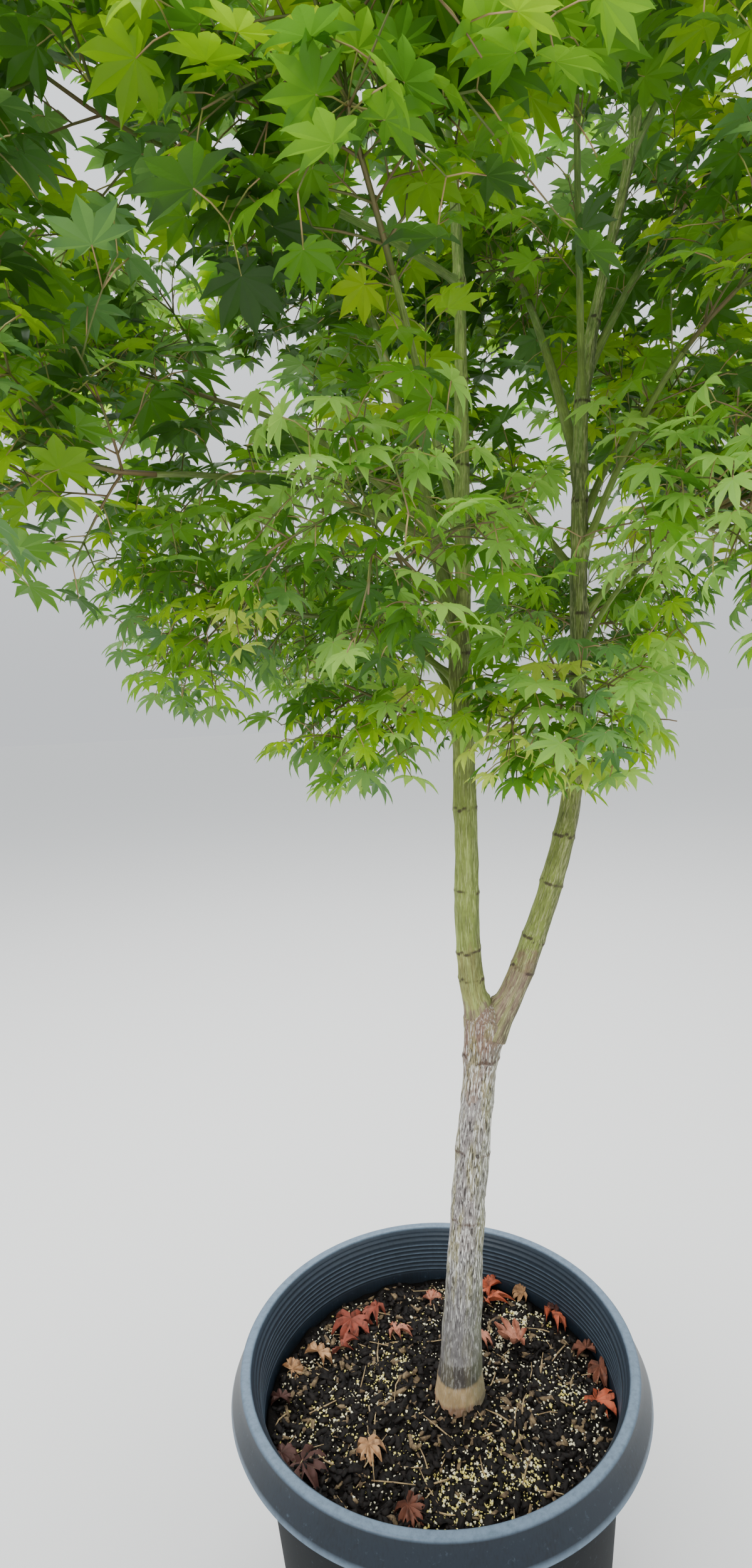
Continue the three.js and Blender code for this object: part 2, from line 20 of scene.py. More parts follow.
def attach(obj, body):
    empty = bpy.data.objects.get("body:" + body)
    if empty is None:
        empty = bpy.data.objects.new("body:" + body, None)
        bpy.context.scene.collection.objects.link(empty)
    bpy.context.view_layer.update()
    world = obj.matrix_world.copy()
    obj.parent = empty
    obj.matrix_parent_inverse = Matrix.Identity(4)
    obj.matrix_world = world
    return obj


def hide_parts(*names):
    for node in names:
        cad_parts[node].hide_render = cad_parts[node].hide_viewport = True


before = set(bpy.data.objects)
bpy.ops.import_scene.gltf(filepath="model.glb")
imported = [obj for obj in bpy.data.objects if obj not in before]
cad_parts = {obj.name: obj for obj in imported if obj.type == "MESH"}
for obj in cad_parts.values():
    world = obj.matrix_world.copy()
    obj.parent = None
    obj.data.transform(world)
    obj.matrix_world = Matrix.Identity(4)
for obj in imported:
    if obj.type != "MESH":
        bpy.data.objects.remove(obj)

LOG = logging.getLogger("maple")
Array = np.ndarray
Draws = np.random.Generator
Node = bpy.types.Node
Tree = bpy.types.NodeTree
Span = tuple[float, float]
MM = 0.001
UP = np.array([0.0, 0.0, 1.0])
TURN = 2 * math.pi
HANDS = (0.0, math.pi)  # the rolls of the two sides of a pair
BODY = "root"
MIX_A, MIX_B, MIX_OUT = 6, 7, 2  # the colour sockets of a Mix node


# Small tools


def linear(colour: str) -> tuple[float, float, float, float]:
    """Turn an sRGB hex colour into linear light.

    Each channel c becomes c / 12.92 up to 0.04045, and ((c + 0.055) / 1.055) to the power 2.4 above it.

    Args:
        colour: Six hex digits after a #.

    Returns:
        Red, green, blue and an alpha of 1.
    """
    channels = [int(colour[i : i + 2], 16) / 255 for i in (1, 3, 5)]
    light = [c / 12.92 if c <= 0.04045 else ((c + 0.055) / 1.055) ** 2.4 for c in channels]
    return (*light, 1.0)


def add_node(tree: Tree, kind: str, links: dict | None = None, **settings: object) -> Node:
    """Add a shader node with its settings and links.

    Args:
        tree: The tree of a material or of the world.
        kind: The node's type, without the word ShaderNode before it.
        links: For each input, by name or number, the (node, output) that feeds it.
        settings: The node's own properties, and the constants of its inputs as `values`.

    Returns:
        The node.
    """
    node = tree.nodes.new("ShaderNode" + kind)
    values = settings.pop("values", {})
    for name, value in settings.items():
        setattr(node, name, value)
    for name, value in values.items():
        node.inputs[name].default_value = value
    for name, (source, output) in (links or {}).items():
        tree.links.new(source.outputs[output], node.inputs[name])
    return node


def unit(vectors: Array) -> Array:
    """Scale the vectors along the last axis to length 1."""
    return vectors / np.maximum(np.linalg.norm(vectors, axis=-1, keepdims=True), 1e-12)


def turned_about(vectors: Array, axis: Array, angle: Array) -> Array:
    """Turn vectors that lie square to a unit axis: v cos(angle) + (axis x v) sin(angle)."""
    angle = np.asarray(angle)[..., None]
    return vectors * np.cos(angle) + np.cross(axis, vectors) * np.sin(angle)


def headings(angles: Array) -> Array:
    """The level unit vectors (cos(a), sin(a)) at angles from +X."""
    return np.stack([np.cos(angles), np.sin(angles)], axis=-1)


def waves(around: Array, along: Array, rng: Draws, count: int, turns: tuple, pitch: tuple) -> Array:
    """A smooth relief on a round limb, between about -1 and 1.

    It is the sum of `count` waves cos(n * angle + 2 pi * height / pitch + phase), divided by the root of
    half their number, with whole n so that each wave closes round the limb.

    Args:
        around: Angles round the limb.
        along: Heights along it, in metres.
        rng: The source of the waves' numbers.
        count: How many waves are added up.
        turns: The least and most n.
        pitch: The least and most wavelength along the limb.

    Returns:
        The relief, in the shape of `around` and `along` together.
    """
    total = 0.0
    for _ in range(count):
        n = rng.integers(*turns)
        rise = TURN / rng.uniform(*pitch) * rng.choice([-1, 1])
        total = total + np.cos(n * around + rise * along + rng.uniform(0, TURN))
    return total / math.sqrt(count / 2)


class Dice:
    """The plant's seeded source of numbers from 0 to 1, the same as in the solids' rule."""

    def __init__(self, seed: int) -> None:
        """Start from a whole number."""
        self.state = seed

    def __call__(self) -> float:
        """Draw the next number: the state becomes (state * factor + step) mod 2 ** 32."""
        self.state = (self.state * 1664525 + 1013904223) % 2**32
        return self.state / 2**32

    def wobble(self, span: float) -> float:
        """Draw evenly from -span / 2 to span / 2."""
        return (self() - 0.5) * span


class Path:
    """A curve through space that is followed by its length.

    It is kept as many points. A share of its length becomes a place on it by the running sum of the
    distances between them.
    """

    def __init__(self, points: Array) -> None:
        """Keep the points and the share of the length that each lies at.

        Args:
            points: (n, 3) places, in order.
        """
        steps = np.linalg.norm(np.diff(points, axis=0), axis=1)
        run = np.concatenate([[0.0], np.cumsum(steps)])
        self.points = points
        self.length = float(run[-1])
        self.shares = run / run[-1]

    def at(self, share: Array | float) -> Array:
        """The places at shares of the length, each coordinate read off between neighbouring points."""
        return np.stack([np.interp(share, self.shares, self.points[:, k]) for k in range(3)], axis=-1)

    def heading(self, share: float) -> Array:
        """The unit direction at a share, from two places close round it."""
        close = 0.004
        return unit(self.at(min(1.0, share + close)) - self.at(max(0.0, share - close)))

    def at_height(self, height: float) -> Array:
        """The place where a rising curve reaches a height."""
        return self.at(np.interp(height, self.points[:, 2], self.shares))


def bezier(start: Array, bend: Array, end: Array, count: int = 120) -> Path:
    """The curve (1 - t)^2 start + 2 t (1 - t) bend + t^2 end, for t from 0 to 1."""
    t = np.linspace(0, 1, count)[:, None]
    return Path((1 - t) ** 2 * start + 2 * t * (1 - t) * bend + t**2 * end)


def spline(points: Array, count: int = 40) -> Path:
    """A centripetal Catmull-Rom curve through points.

    Between two points it is the cubic whose end slopes come from the three nearest spans, each measured
    by the square root of its length. The first and last spans are mirrored past the ends.

    Args:
        points: (n, 3) points.
        count: Places for each span.

    Returns:
        The curve.
    """
    points = np.concatenate([[2 * points[0] - points[1]], points, [2 * points[-1] - points[-2]]])
    knots = np.sqrt(np.linalg.norm(np.diff(points, axis=0), axis=1))[:, None]
    a, b, c, d = points[:-3], points[1:-2], points[2:-1], points[3:]
    before, here, after = knots[:-2], knots[1:-1], knots[2:]
    slope_b = here * ((b - a) / before - (c - a) / (before + here) + (c - b) / here)
    slope_c = here * ((c - b) / here - (d - b) / (here + after) + (d - c) / after)
    t = np.linspace(0, 1, count, endpoint=False)[None, :, None]
    b, c, slope_b, slope_c = (part[:, None] for part in (b, c, slope_b, slope_c))
    square, cube = 3 * (c - b) - 2 * slope_b - slope_c, 2 * (b - c) + slope_b + slope_c
    places = b + slope_b * t + square * t**2 + cube * t**3
    return Path(np.concatenate([places.reshape(-1, 3), points[-2:-1]]))


# Surfaces


@dataclass
class Surface:
    """Points, faces and marks of a mesh in the making.

    Attributes:
        points: (n, 3) places.
        faces: Arrays of corner numbers, one row for each face, one array for each number of corners.
        marks: Values on the points by name, each (n,) or (n, 3).
    """

    points: Array
    faces: list[Array]
    marks: dict[str, Array] = field(default_factory=dict)

    @staticmethod
    def joined(surfaces: list["Surface"]) -> "Surface":
        """Put several surfaces together, unwelded.

        Args:
            surfaces: The surfaces, all with the same marks.

        Returns:
            One surface with all their points, faces and marks.
        """
        starts = np.cumsum([0] + [len(surface.points) for surface in surfaces])
        return Surface(
            np.concatenate([surface.points for surface in surfaces]),
            [face + start for surface, start in zip(surfaces, starts) for face in surface.faces],
            {name: np.concatenate([one.marks[name] for one in surfaces]) for name in surfaces[0].marks},
        )

    def mesh(self, name: str) -> bpy.types.Mesh:
        """Write the arrays into a new mesh.

        Args:
            name: The mesh's name.

        Returns:
            The mesh, smooth, with each mark as an attribute of its points.
        """
        corners = np.concatenate([face.ravel() for face in self.faces])
        sizes = np.concatenate([np.full(len(face), face.shape[1]) for face in self.faces])
        mesh = bpy.data.meshes.new(name)
        mesh.vertices.add(len(self.points))
        mesh.vertices.foreach_set("co", self.points.astype(np.float32).ravel())
        mesh.loops.add(len(corners))
        mesh.loops.foreach_set("vertex_index", corners.astype(np.int32))
        mesh.polygons.add(len(sizes))
        mesh.polygons.foreach_set("loop_start", (np.cumsum(sizes) - sizes).astype(np.int32))
        mesh.polygons.foreach_set("use_smooth", np.ones(len(sizes), dtype=bool))
        for mark, values in self.marks.items():
            kind, key = ("FLOAT", "value") if values.ndim == 1 else ("FLOAT_VECTOR", "vector")
            data = mesh.attributes.new(mark, kind, "POINT").data
            data.foreach_set(key, values.astype(np.float32).ravel())
        mesh.update(calc_edges=True)
        return mesh


def add_piece(name: str, surface: Surface, finish: "Finish", slot: str, nodes: list[str]) -> None:
    """Make an object of a surface, give it its finish, hang it on the body and hide the solids that it stands
    for.

    Args:
        name: The piece's name.
        surface: Its surface, in place.
        finish: What it is made of.
        slot: The record's material slot; not used.
        nodes: The solids that it stands for.
    """
    piece = bpy.data.objects.new(name, surface.mesh(name))
    bpy.context.scene.collection.objects.link(piece)
    piece.data.materials.append(finish.material())
    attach(piece, BODY)
    if nodes:
        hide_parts(*nodes)
    LOG.info("%s: %d faces", name, sum(len(face) for face in surface.faces))


def swept(points: Array, radii: Array, sides: int) -> Surface:
    """Carry a round section along many paths at once.

    Each ring lies square to its path. Its corner j stands at the path's point plus radius times
    (cos(a) * side + sin(a) * rise), with a = 2 pi j / sides, where side and rise are unit vectors square
    to the path. One face closes each end. The mark `grain` holds each point as if its limb were
    straight: radius * cos(a), radius * sin(a) and the length run along the path.

    Args:
        points: (paths, rings, 3) places.
        radii: (paths, rings, 1 or sides) distances from the path.
        sides: Corners of a ring.

    Returns:
        The surface of all paths.
    """
    paths, rings, _ = points.shape
    ahead = unit(np.gradient(points, axis=1))
    axis = np.eye(3)[np.abs(ahead.mean(axis=1)).argmin(axis=1)][:, None]
    side = unit(np.cross(axis, ahead))
    rise = np.cross(ahead, side)
    angle = np.arange(sides) * TURN / sides
    around = np.cos(angle)[:, None] * side[:, :, None] + np.sin(angle)[:, None] * rise[:, :, None]
    skin = points[:, :, None] + radii[..., None] * around
    run = np.cumsum(np.linalg.norm(np.diff(points, axis=1, prepend=points[:, :1]), axis=2), axis=1)
    wide = np.broadcast_to(radii, skin.shape[:3])
    run = np.broadcast_to(run[..., None], skin.shape[:3])
    grain = np.stack([wide * np.cos(angle), wide * np.sin(angle), run], axis=-1)
    corner = np.arange(paths * rings * sides).reshape(paths, rings, sides)
    beside = np.roll(corner, -1, axis=2)
    walls = np.stack([corner[:, :-1], beside[:, :-1], beside[:, 1:], corner[:, 1:]], axis=-1)
    faces = [walls.reshape(-1, 4), corner[:, 0, ::-1], corner[:, -1]]
    return Surface(skin.reshape(-1, 3), faces, {"grain": grain.reshape(-1, 3)})


def revolved(profile: Array, angles: Array, swell: Array | float = 0.0) -> Surface:
    """Turn a profile round the Z axis, from one point on the axis to another.

    A point at (radius, height) becomes (radius * cos(a), radius * sin(a), height) at each angle a, and
    `swell` is added to its radius there. The first and last points of the profile are single points.

    Args:
        profile: (n, 2) radii and heights, going so that the inside lies on the left.
        angles: The angles, rising, the last below a full turn.
        swell: (n - 2, angles) values, or 0.

    Returns:
        The closed surface.
    """
    radius = profile[1:-1, :1] + swell
    height = np.broadcast_to(profile[1:-1, 1:], (len(profile) - 2, len(angles)))
    radius = np.broadcast_to(radius, height.shape)
    rings = np.stack([radius * np.cos(angles), radius * np.sin(angles), height], axis=-1)
    poles = np.array([[0.0, 0.0, profile[0, 1]], [0.0, 0.0, profile[-1, 1]]])
    corner = np.arange(height.size).reshape(height.shape)
    beside = np.roll(corner, -1, axis=1)
    first, last = np.full(len(angles), height.size), np.full(len(angles), height.size + 1)
    walls = np.stack([corner[:-1], beside[:-1], beside[1:], corner[1:]], axis=-1).reshape(-1, 4)
    fans = [
        np.stack([first, beside[0], corner[0]], axis=1),
        np.stack([corner[-1], beside[-1], last], axis=1),
    ]
    return Surface(np.concatenate([rings.reshape(-1, 3), poles]), [walls, *fans])


def crumbs(centres: Array, sizes: Array, rng: Draws) -> Surface:
    """Many small broken bits: boxes of 8 corners, each corner moved at random by up to a quarter.

    Args:
        centres: (n, 3) places.
        sizes: (n, 3) lengths, widths and thicknesses.
        rng: The source of the turns and the moves.

    Returns:
        The surface of all bits.
    """
    count = len(centres)
    signs = np.array([[x, y, z] for z in (-1, 1) for y in (-1, 1) for x in (-1, 1)], dtype=float)
    corners = (signs + rng.uniform(-0.5, 0.5, (count, 8, 3))) * sizes[:, None] / 2
    spin, tilt = rng.uniform(0, TURN, count), rng.normal(0, 0.35, count)
    long_way = np.column_stack([headings(spin) * np.cos(tilt)[:, None], np.sin(tilt)])
    side = unit(np.cross(UP, long_way))
    axes = np.stack([long_way, side, np.cross(long_way, side)], axis=1)
    quads = np.array([[0, 2, 3, 1], [4, 5, 7, 6], [0, 1, 5, 4], [2, 6, 7, 3], [0, 4, 6, 2], [1, 3, 7, 5]])
    faces = quads[None] + 8 * np.arange(count)[:, None, None]
    return Surface((centres[:, None] + corners @ axes).reshape(-1, 3), [faces.reshape(-1, 4)])


# Finishes


def patches(
    tree: Tree, wide_mm: float, long_mm: float = 0.0, detail: float = 2.0, crumble: float = 0.5,
    mark: str = "", offset: float = 0.0,
) -> Node:
    """Lay out soft patches of a real size: noise((x, y, z * width / length + offset) / width).

    Args:
        tree: The material's nodes.
        wide_mm: A patch's width.
        long_mm: Its length along the third axis, or 0 where it is as long as it is wide.
        detail: How many finer noises are added.
        crumble: How strong these are.
        mark: The surface's own mark that gives the place, or none for Object coordinates.
        offset: A shift that makes another pattern of the same kind.

    Returns:
        The noise, whose output Fac varies round 0.5.
    """
    place = add_node(tree, "Attribute", attribute_name=mark) if mark else add_node(tree, "TexCoord")
    stretched = add_node(
        tree, "Mapping", {"Vector": (place, "Vector" if mark else "Object")},
        values={"Location": (offset,) * 3, "Scale": (1.0, 1.0, wide_mm / (long_mm or wide_mm))},
    )
    return add_node(
        tree, "TexNoise", {"Vector": (stretched, "Vector")},
        values={"Scale": 1 / (wide_mm * MM), "Detail": detail, "Roughness": crumble},
    )


def laid_over(
    tree: Tree, under: Node | str, colour: str, value: tuple[Node, object],
    span: Span | None = None, most: float = 1.0, eased: bool = True,
) -> Node:
    """Lay a colour over another by a share, or by a value that steps from none to most of it.

    Args:
        tree: The material's nodes.
        under: The colour below, or the node that shows it.
        colour: The colour on top.
        value: The node and output of the share or the value.
        span: The values where the step begins and ends, or nothing where the value is the share.
        most: The share after the step.
        eased: Whether the step eases in and out.

    Returns:
        The Mix node that shows both.
    """
    if span:
        step = add_node(
            tree, "MapRange", {"Value": value}, interpolation_type="SMOOTHSTEP" if eased else "LINEAR",
            values={"From Min": span[0], "From Max": span[1], "To Max": most},
        )
        value = (step, 0)
    links, values = {0: value}, {MIX_B: linear(colour)}
    if isinstance(under, str):
        values[MIX_A] = linear(under)
    else:
        links[MIX_A] = (under, MIX_OUT)
    return add_node(tree, "Mix", links, data_type="RGBA", values=values)


@dataclass(frozen=True)
class Finish:
    """What a piece is made of. Each kind of finish builds its own nodes in `dress`."""

    name: str

    def material(self) -> bpy.types.Material:
        """Make the material once and give the same one after that.

        Returns:
            The material, whose output takes the shader that `dress` gives.
        """
        made = bpy.data.materials.get(self.name)
        if made:
            return made
        made = bpy.data.materials.new(self.name)
        made.use_nodes = True
        made.node_tree.nodes.clear()
        add_node(made.node_tree, "OutputMaterial", {"Surface": (self.dress(made.node_tree), 0)})
        return made

    def dress(self, tree: Tree) -> Node:
        """Build the nodes and give back the shader."""
        raise NotImplementedError


@dataclass(frozen=True)
class MouldedPlastic(Finish):
    """Black polyethylene, injection moulded and left outdoors.

    It gives the eye a dark blue-grey sheen, painted into the colour where the wall faces up and laid in
    clouds and faint flow streaks down the wall, pale dust on the lip, painted highlights along the skirt's
    lower edge and on the ribs' crests where its mark of dust, wear and highlights is high, scuffs about a
    centimetre long, and a duller lower wall.
    """

    body: str = "#0c1013"
    # a painted blue-grey sheen, where the wall faces up
    painted_sheen: str = "#18222c"
    # pale dust, and painted highlights on the skirt's lower edge and the ribs' crests
    dust_and_highlight: str = "#778b9e"
    cloud_mm: float = 90.0
    streak_mm: Span = (3.0, 75.0)
    scuff_mm: float = 9.0

    def dress(self, tree: Tree) -> Node:
        """Paint a sheen on the body in clouds and streaks where it faces up, and lay the dust and the painted
        highlights where they are marked or scuffed.

        Args:
            tree: The material's nodes.

        Returns:
            The shader.
        """
        cloud = patches(tree, self.cloud_mm, detail=4.0, crumble=0.6)
        streak = patches(tree, *self.streak_mm, detail=3.0, crumble=0.6)
        scuff = patches(tree, self.scuff_mm, detail=6.0, crumble=0.75)
        facing = add_node(tree, "NewGeometry")
        sides = add_node(tree, "SeparateXYZ", {0: (facing, "Normal")})
        upward = add_node(
            tree, "MapRange", {"Value": (sides, "Z")},
            interpolation_type="SMOOTHSTEP", values={"From Min": -0.05, "From Max": 0.3},
        )
        both = add_node(tree, "Math", {0: (cloud, "Fac"), 1: (streak, "Fac")}, operation="MULTIPLY")
        # the painted sheen's share: clouds times streaks, where the wall faces up
        painted_sheen_share = add_node(
            tree, "Math", {0: (both, 0), 1: (upward, 0)},
            operation="MULTIPLY_ADD", use_clamp=True, values={2: 0.12},
        )
        wall = laid_over(tree, self.body, self.painted_sheen, (painted_sheen_share, 0), (0.08, 0.42))
        worn = add_node(
            tree, "MapRange", {"Value": (scuff, "Fac")},
            interpolation_type="SMOOTHSTEP", values={"From Min": 0.1, "From Max": 0.7, "To Min": 0.45},
        )
        # dust and wear, with painted highlights on the skirt's lower edge and the ribs' crests
        wear = add_node(tree, "Attribute", attribute_name="wear")
        dust_and_highlight_share = add_node(tree, "Math", {0: (wear, "Fac"), 1: (worn, 0)}, operation="MULTIPLY")
        spots = add_node(
            tree, "MapRange", {"Value": (scuff, "Fac")},
            values={"From Min": 0.6, "From Max": 0.8, "To Max": 0.3},
        )
        shown = add_node(tree, "Math", {0: (dust_and_highlight_share, 0), 1: (spots, 0)}, operation="MAXIMUM")
        colour = laid_over(tree, wall, self.dust_and_highlight, (shown, 0))
        rough = add_node(
            tree, "MapRange", {"Value": (sides, "Z")}, interpolation_type="SMOOTHSTEP",
            values={"From Min": -0.06, "From Max": 0.2, "To Min": 0.85, "To Max": 0.42},
        )
        bump = add_node(
            tree, "Bump", {"Height": (streak, "Fac")}, values={"Strength": 0.12, "Distance": 0.4 * MM},
        )
        return add_node(
            tree, "BsdfPrincipled",
            {"Base Color": (colour, MIX_OUT), "Roughness": (rough, 0), "Normal": (bump, 0)},
            values={"IOR": 1.51, "Specular IOR Level": 0.3},
        )


@dataclass(frozen=True)
class Mottled(Finish):
    """A dull natural surface with patches of a second tone, which may stand up a little.

    A patch is a noise `patch_mm` wide, broken up by `detail` finer noises of strength `crumble`. It begins
    and is full where the noise passes the two ends of `span`, and its tone then shows by the share `most`.
    The relief is a strength and a height in millimetres.
    """

    ground: str
    patch: str
    patch_mm: float = 10.0
    detail: float = 2.0
    crumble: float = 0.5
    span: Span = (0.4, 0.62)
    most: float = 1.0
    eased: bool = True
    relief: Span | None = None
    roughness: float = 0.55
    gloss: float = 0.5

    def dress(self, tree: Tree) -> Node:
        """Lay the patches over the ground, and raise them.

        Args:
            tree: The material's nodes.

        Returns:
            The shader.
        """
        noise = patches(tree, self.patch_mm, detail=self.detail, crumble=self.crumble)
        value = (noise, "Fac")
        colour = laid_over(tree, self.ground, self.patch, value, self.span, self.most, self.eased)
        links = {"Base Color": (colour, MIX_OUT)}
        if self.relief:
            strength, height = self.relief
            bump = add_node(
                tree, "Bump", {"Height": value}, values={"Strength": strength, "Distance": height * MM},
            )
            links["Normal"] = (bump, 0)
        return add_node(
            tree, "BsdfPrincipled", links,
            values={"Roughness": self.roughness, "Specular IOR Level": self.gloss},
        )


@dataclass(frozen=True)
class Crumb(Mottled):
    """Loose bits of the potting mix: composted bark, straw, or expanded perlite.

    The bits are dull and crumbly, and vary from one to the next over a few millimetres.
    """

    patch_mm: float = 7.0
    detail: float = 5.0
    crumble: float = 0.7
    span: Span = (0.35, 0.68)
    eased: bool = False
    relief: Span | None = (0.5, 1.2)
    roughness: float = 0.9


@dataclass(frozen=True)
class DryLeaf(Mottled):
    """A fallen leaf, dull and brittle, browner in puckered patches a centimetre wide."""

    patch: str = "#3c2318"
    detail: float = 4.0
    crumble: float = 0.6
    span: Span = (0.4, 0.7)
    most: float = 0.75
    relief: Span | None = (0.7, 1.5)
    roughness: float = 0.72


@dataclass(frozen=True)
class GreenWood(Mottled):
    """The smooth skin of twigs and leaf stalks, green in some patches and a pinkish tan in others."""


@dataclass(frozen=True)
class Bark(Finish):
    """Living bark that changes with its height: an old grey skin below, a green one above.

    Short pale lenticels and dark fissures run along the limb, patches a few centimetres wide shift the tone,
    and the side towards +X is greener and darker, partly moss and partly painted shade. The mark `grain` is
    the place on the limb as if it were straight, and the mark `scar` is 1 on the ring scars.

    Tones are heights in metres where a tone begins, and colours, rising. The moss and shade tone is moss and
    painted shade on the side towards +X, a fleck is a lenticel, a fissure a dark line, and a stripe is long
    and soft. Each has a colour and how strongly it shows, and sizes are widths and lengths. Patches move the
    borders between tones by up to `ragged`, in metres, but little below `even_below`, where flecks and
    stripes fade. Above `calm_above` flecks and lines fade, too. A border lies higher by `slant` for each
    metre towards +X.
    """

    tones: tuple[tuple[float, str], ...]
    moss_and_shade: tuple[str, float]
    fleck: tuple[str, float]
    fissure: tuple[str, float]
    scar: str
    fleck_mm: Span
    stripe: tuple[str, float]
    stripe_mm: Span = (7.0, 130.0)
    patch_mm: float = 35.0
    ragged: float = 0.05
    even_below: float = 0.0
    calm_above: float = 9.0
    slant: float = 0.0
    roughness: float = 0.8

    def dress(self, tree: Tree) -> Node:
        """Choose the tone by height, lay fissures, flecks and scars over it, and raise them a little.

        Args:
            tree: The material's nodes.

        Returns:
            The shader.
        """
        patch = patches(tree, self.patch_mm, detail=5.0, crumble=0.65)
        place = add_node(tree, "TexCoord")
        axes = add_node(tree, "SeparateXYZ", {0: (place, "Object")})
        clear = add_node(
            tree, "MapRange", {"Value": (axes, "Z")},
            values={"From Min": self.even_below - 0.05, "From Max": self.even_below + 0.16, "To Min": 0.12},
        )
        calm = add_node(
            tree, "MapRange", {"Value": (axes, "Z")},
            values={
                "From Min": self.calm_above, "From Max": self.calm_above + 0.07,
                "To Min": 1.0, "To Max": 0.4,
            },
        )
        lively = add_node(tree, "Math", {0: (clear, 0), 1: (calm, 0)}, operation="MULTIPLY")
        cut = self.lines(tree, self.fleck_mm, 0.0, (0.52, 0.61), self.fissure[1], lively)
        spot = self.lines(tree, self.fleck_mm, 1.7, (0.52, 0.61), self.fleck[1], lively)
        shown = self.toned(tree, axes, patch, clear)
        shown = laid_over(tree, shown, self.fissure[0], (cut, 0))
        shown = laid_over(tree, shown, self.fleck[0], (spot, 0))
        mark = add_node(tree, "Attribute", attribute_name="scar")
        shown = laid_over(tree, shown, self.scar, (mark, "Fac"), (0.1, 0.7), 0.85)
        worn = add_node(
            tree, "MapRange", {"Value": (patch, "Fac")},
            values={"From Min": 0.3, "From Max": 0.7, "To Min": 0.66, "To Max": 1.25},
        )
        colour = add_node(tree, "VectorMath", {0: (shown, MIX_OUT), 1: (worn, 0)}, operation="MULTIPLY")
        relief = add_node(tree, "Math", {0: (spot, 0), 1: (cut, 0)}, operation="SUBTRACT")
        bump = add_node(
            tree, "Bump", {"Height": (relief, 0)}, values={"Strength": 0.6, "Distance": 0.8 * MM},
        )
        return add_node(
            tree, "BsdfPrincipled", {"Base Color": (colour, 0), "Normal": (bump, 0)},
            values={"Roughness": self.roughness},
        )

    def toned(self, tree: Tree, axes: Node, patch: Node, clear: Node) -> Node:
        """Show the tone by height, with borders made ragged by the patches, then stripes, and moss with
        painted shade on the side towards +X.

        Args:
            tree: The material's nodes.
            axes: The place's coordinates.
            patch: The patches.
            clear: How clearly the stripes show.

        Returns:
            The Mix node that shows it all.
        """
        centred = add_node(tree, "Math", {0: (patch, "Fac")}, operation="SUBTRACT", values={1: 0.5})
        free = add_node(
            tree, "MapRange", {"Value": (axes, "Z")},
            values={
                "From Min": self.even_below, "From Max": self.even_below + 0.06,
                "To Min": 0.5 * self.ragged, "To Max": 4 * self.ragged,
            },
        )
        moved = add_node(
            tree, "Math", {0: (centred, 0), 1: (free, 0), 2: (axes, "Z")}, operation="MULTIPLY_ADD",
        )
        height = add_node(
            tree, "Math", {0: (axes, "X"), 2: (moved, 0)},
            operation="MULTIPLY_ADD", values={1: -self.slant},
        )
        half = 0.15 * self.ragged
        shown = self.tones[0][1]
        for begin, tone in self.tones[1:]:
            shown = laid_over(tree, shown, tone, (height, 0), (begin - half, begin + half))
        striped = self.lines(tree, self.stripe_mm, 3.1, (0.45, 0.62), self.stripe[1], clear)
        shown = laid_over(tree, shown, self.stripe[0], (striped, 0))
        facing = add_node(tree, "NewGeometry")
        sides = add_node(tree, "SeparateXYZ", {0: (facing, "Normal")})
        # the side towards +X, broken by the patches, takes moss and painted shade
        moss_and_shade_share = add_node(tree, "Math", {0: (sides, "X"), 1: (centred, 0)}, operation="ADD")
        return laid_over(tree, shown, self.moss_and_shade[0], (moss_and_shade_share, 0), (-0.1, 0.9), self.moss_and_shade[1])

    @staticmethod
    def lines(
        tree: Tree, size_mm: Span, offset: float, span: Span,
        most: float, clear: Node,
    ) -> Node:
        """Draw lines that follow the limb: a smooth step of long patches of its grain.

        Args:
            tree: The material's nodes.
            size_mm: A line's width and length.
            offset: A shift that makes other lines.
            span: Where in the noise a line begins, and where it is full.
            most: How strongly a full line shows.
            clear: What else this is multiplied by.

        Returns:
            The node that gives the lines' share.
        """
        noise = patches(tree, *size_mm, detail=2.5, crumble=0.55, mark="grain", offset=offset)
        step = add_node(
            tree, "MapRange", {"Value": (noise, "Fac")}, interpolation_type="SMOOTHSTEP",
            values={"From Min": span[0], "From Max": span[1], "To Max": most},
        )
        return add_node(tree, "Math", {0: (step, 0), 1: (clear, 0)}, operation="MULTIPLY")


# In each bark, the colour for the side towards +X is moss and painted shade.
TRUNK_BARK = Bark(
    "maple_bark_grey",
    tones=(
        (0.0, "#8c6a50"), (0.381, "#b99c70"), (0.408, "#4e4843"), (0.440, "#827e7c"), (0.62, "#8e8682"),
        (0.84, "#8a786c"), (0.90, "#846858"),
    ),
    moss_and_shade=("#747a5c", 0.6), fleck=("#ebe9e0", 0.78), fissure=("#241c19", 0.85), scar="#4e382a",
    fleck_mm=(2.0, 14.0), stripe=("#9c9660", 0.55), stripe_mm=(14.0, 80.0),
    ragged=0.02, even_below=0.44, calm_above=0.9, slant=0.1,
)
LEFT_STEM_BARK = Bark(
    "maple_bark_green",
    tones=(
        (0.0, "#86705e"), (0.978, "#878549"), (1.06, "#7e8b3e"), (1.36, "#758339"), (1.44, "#6a6c40"),
        (1.57, "#789243"), (1.9, "#749443"),
    ),
    moss_and_shade=("#4a5826", 0.6), fleck=("#b4bd78", 0.5), fissure=("#464423", 0.45), scar="#38241a",
    fleck_mm=(1.5, 22.0), stripe=("#9fae5c", 0.5),
)
RIGHT_STEM_BARK = Bark(
    "maple_bark_olive",
    tones=(
        (0.0, "#86705e"), (1.025, "#826f50"), (1.055, "#7c893c"), (1.2, "#727e38"), (1.3, "#5e6238"),
        (1.4, "#5f6e38"), (1.7, "#6e8a40"),
    ),
    moss_and_shade=("#33391c", 0.75), fleck=("#b4b480", 0.5), fissure=("#3c3720", 0.5), scar="#34211a",
    fleck_mm=(1.5, 18.0), stripe=("#98a456", 0.45),
)
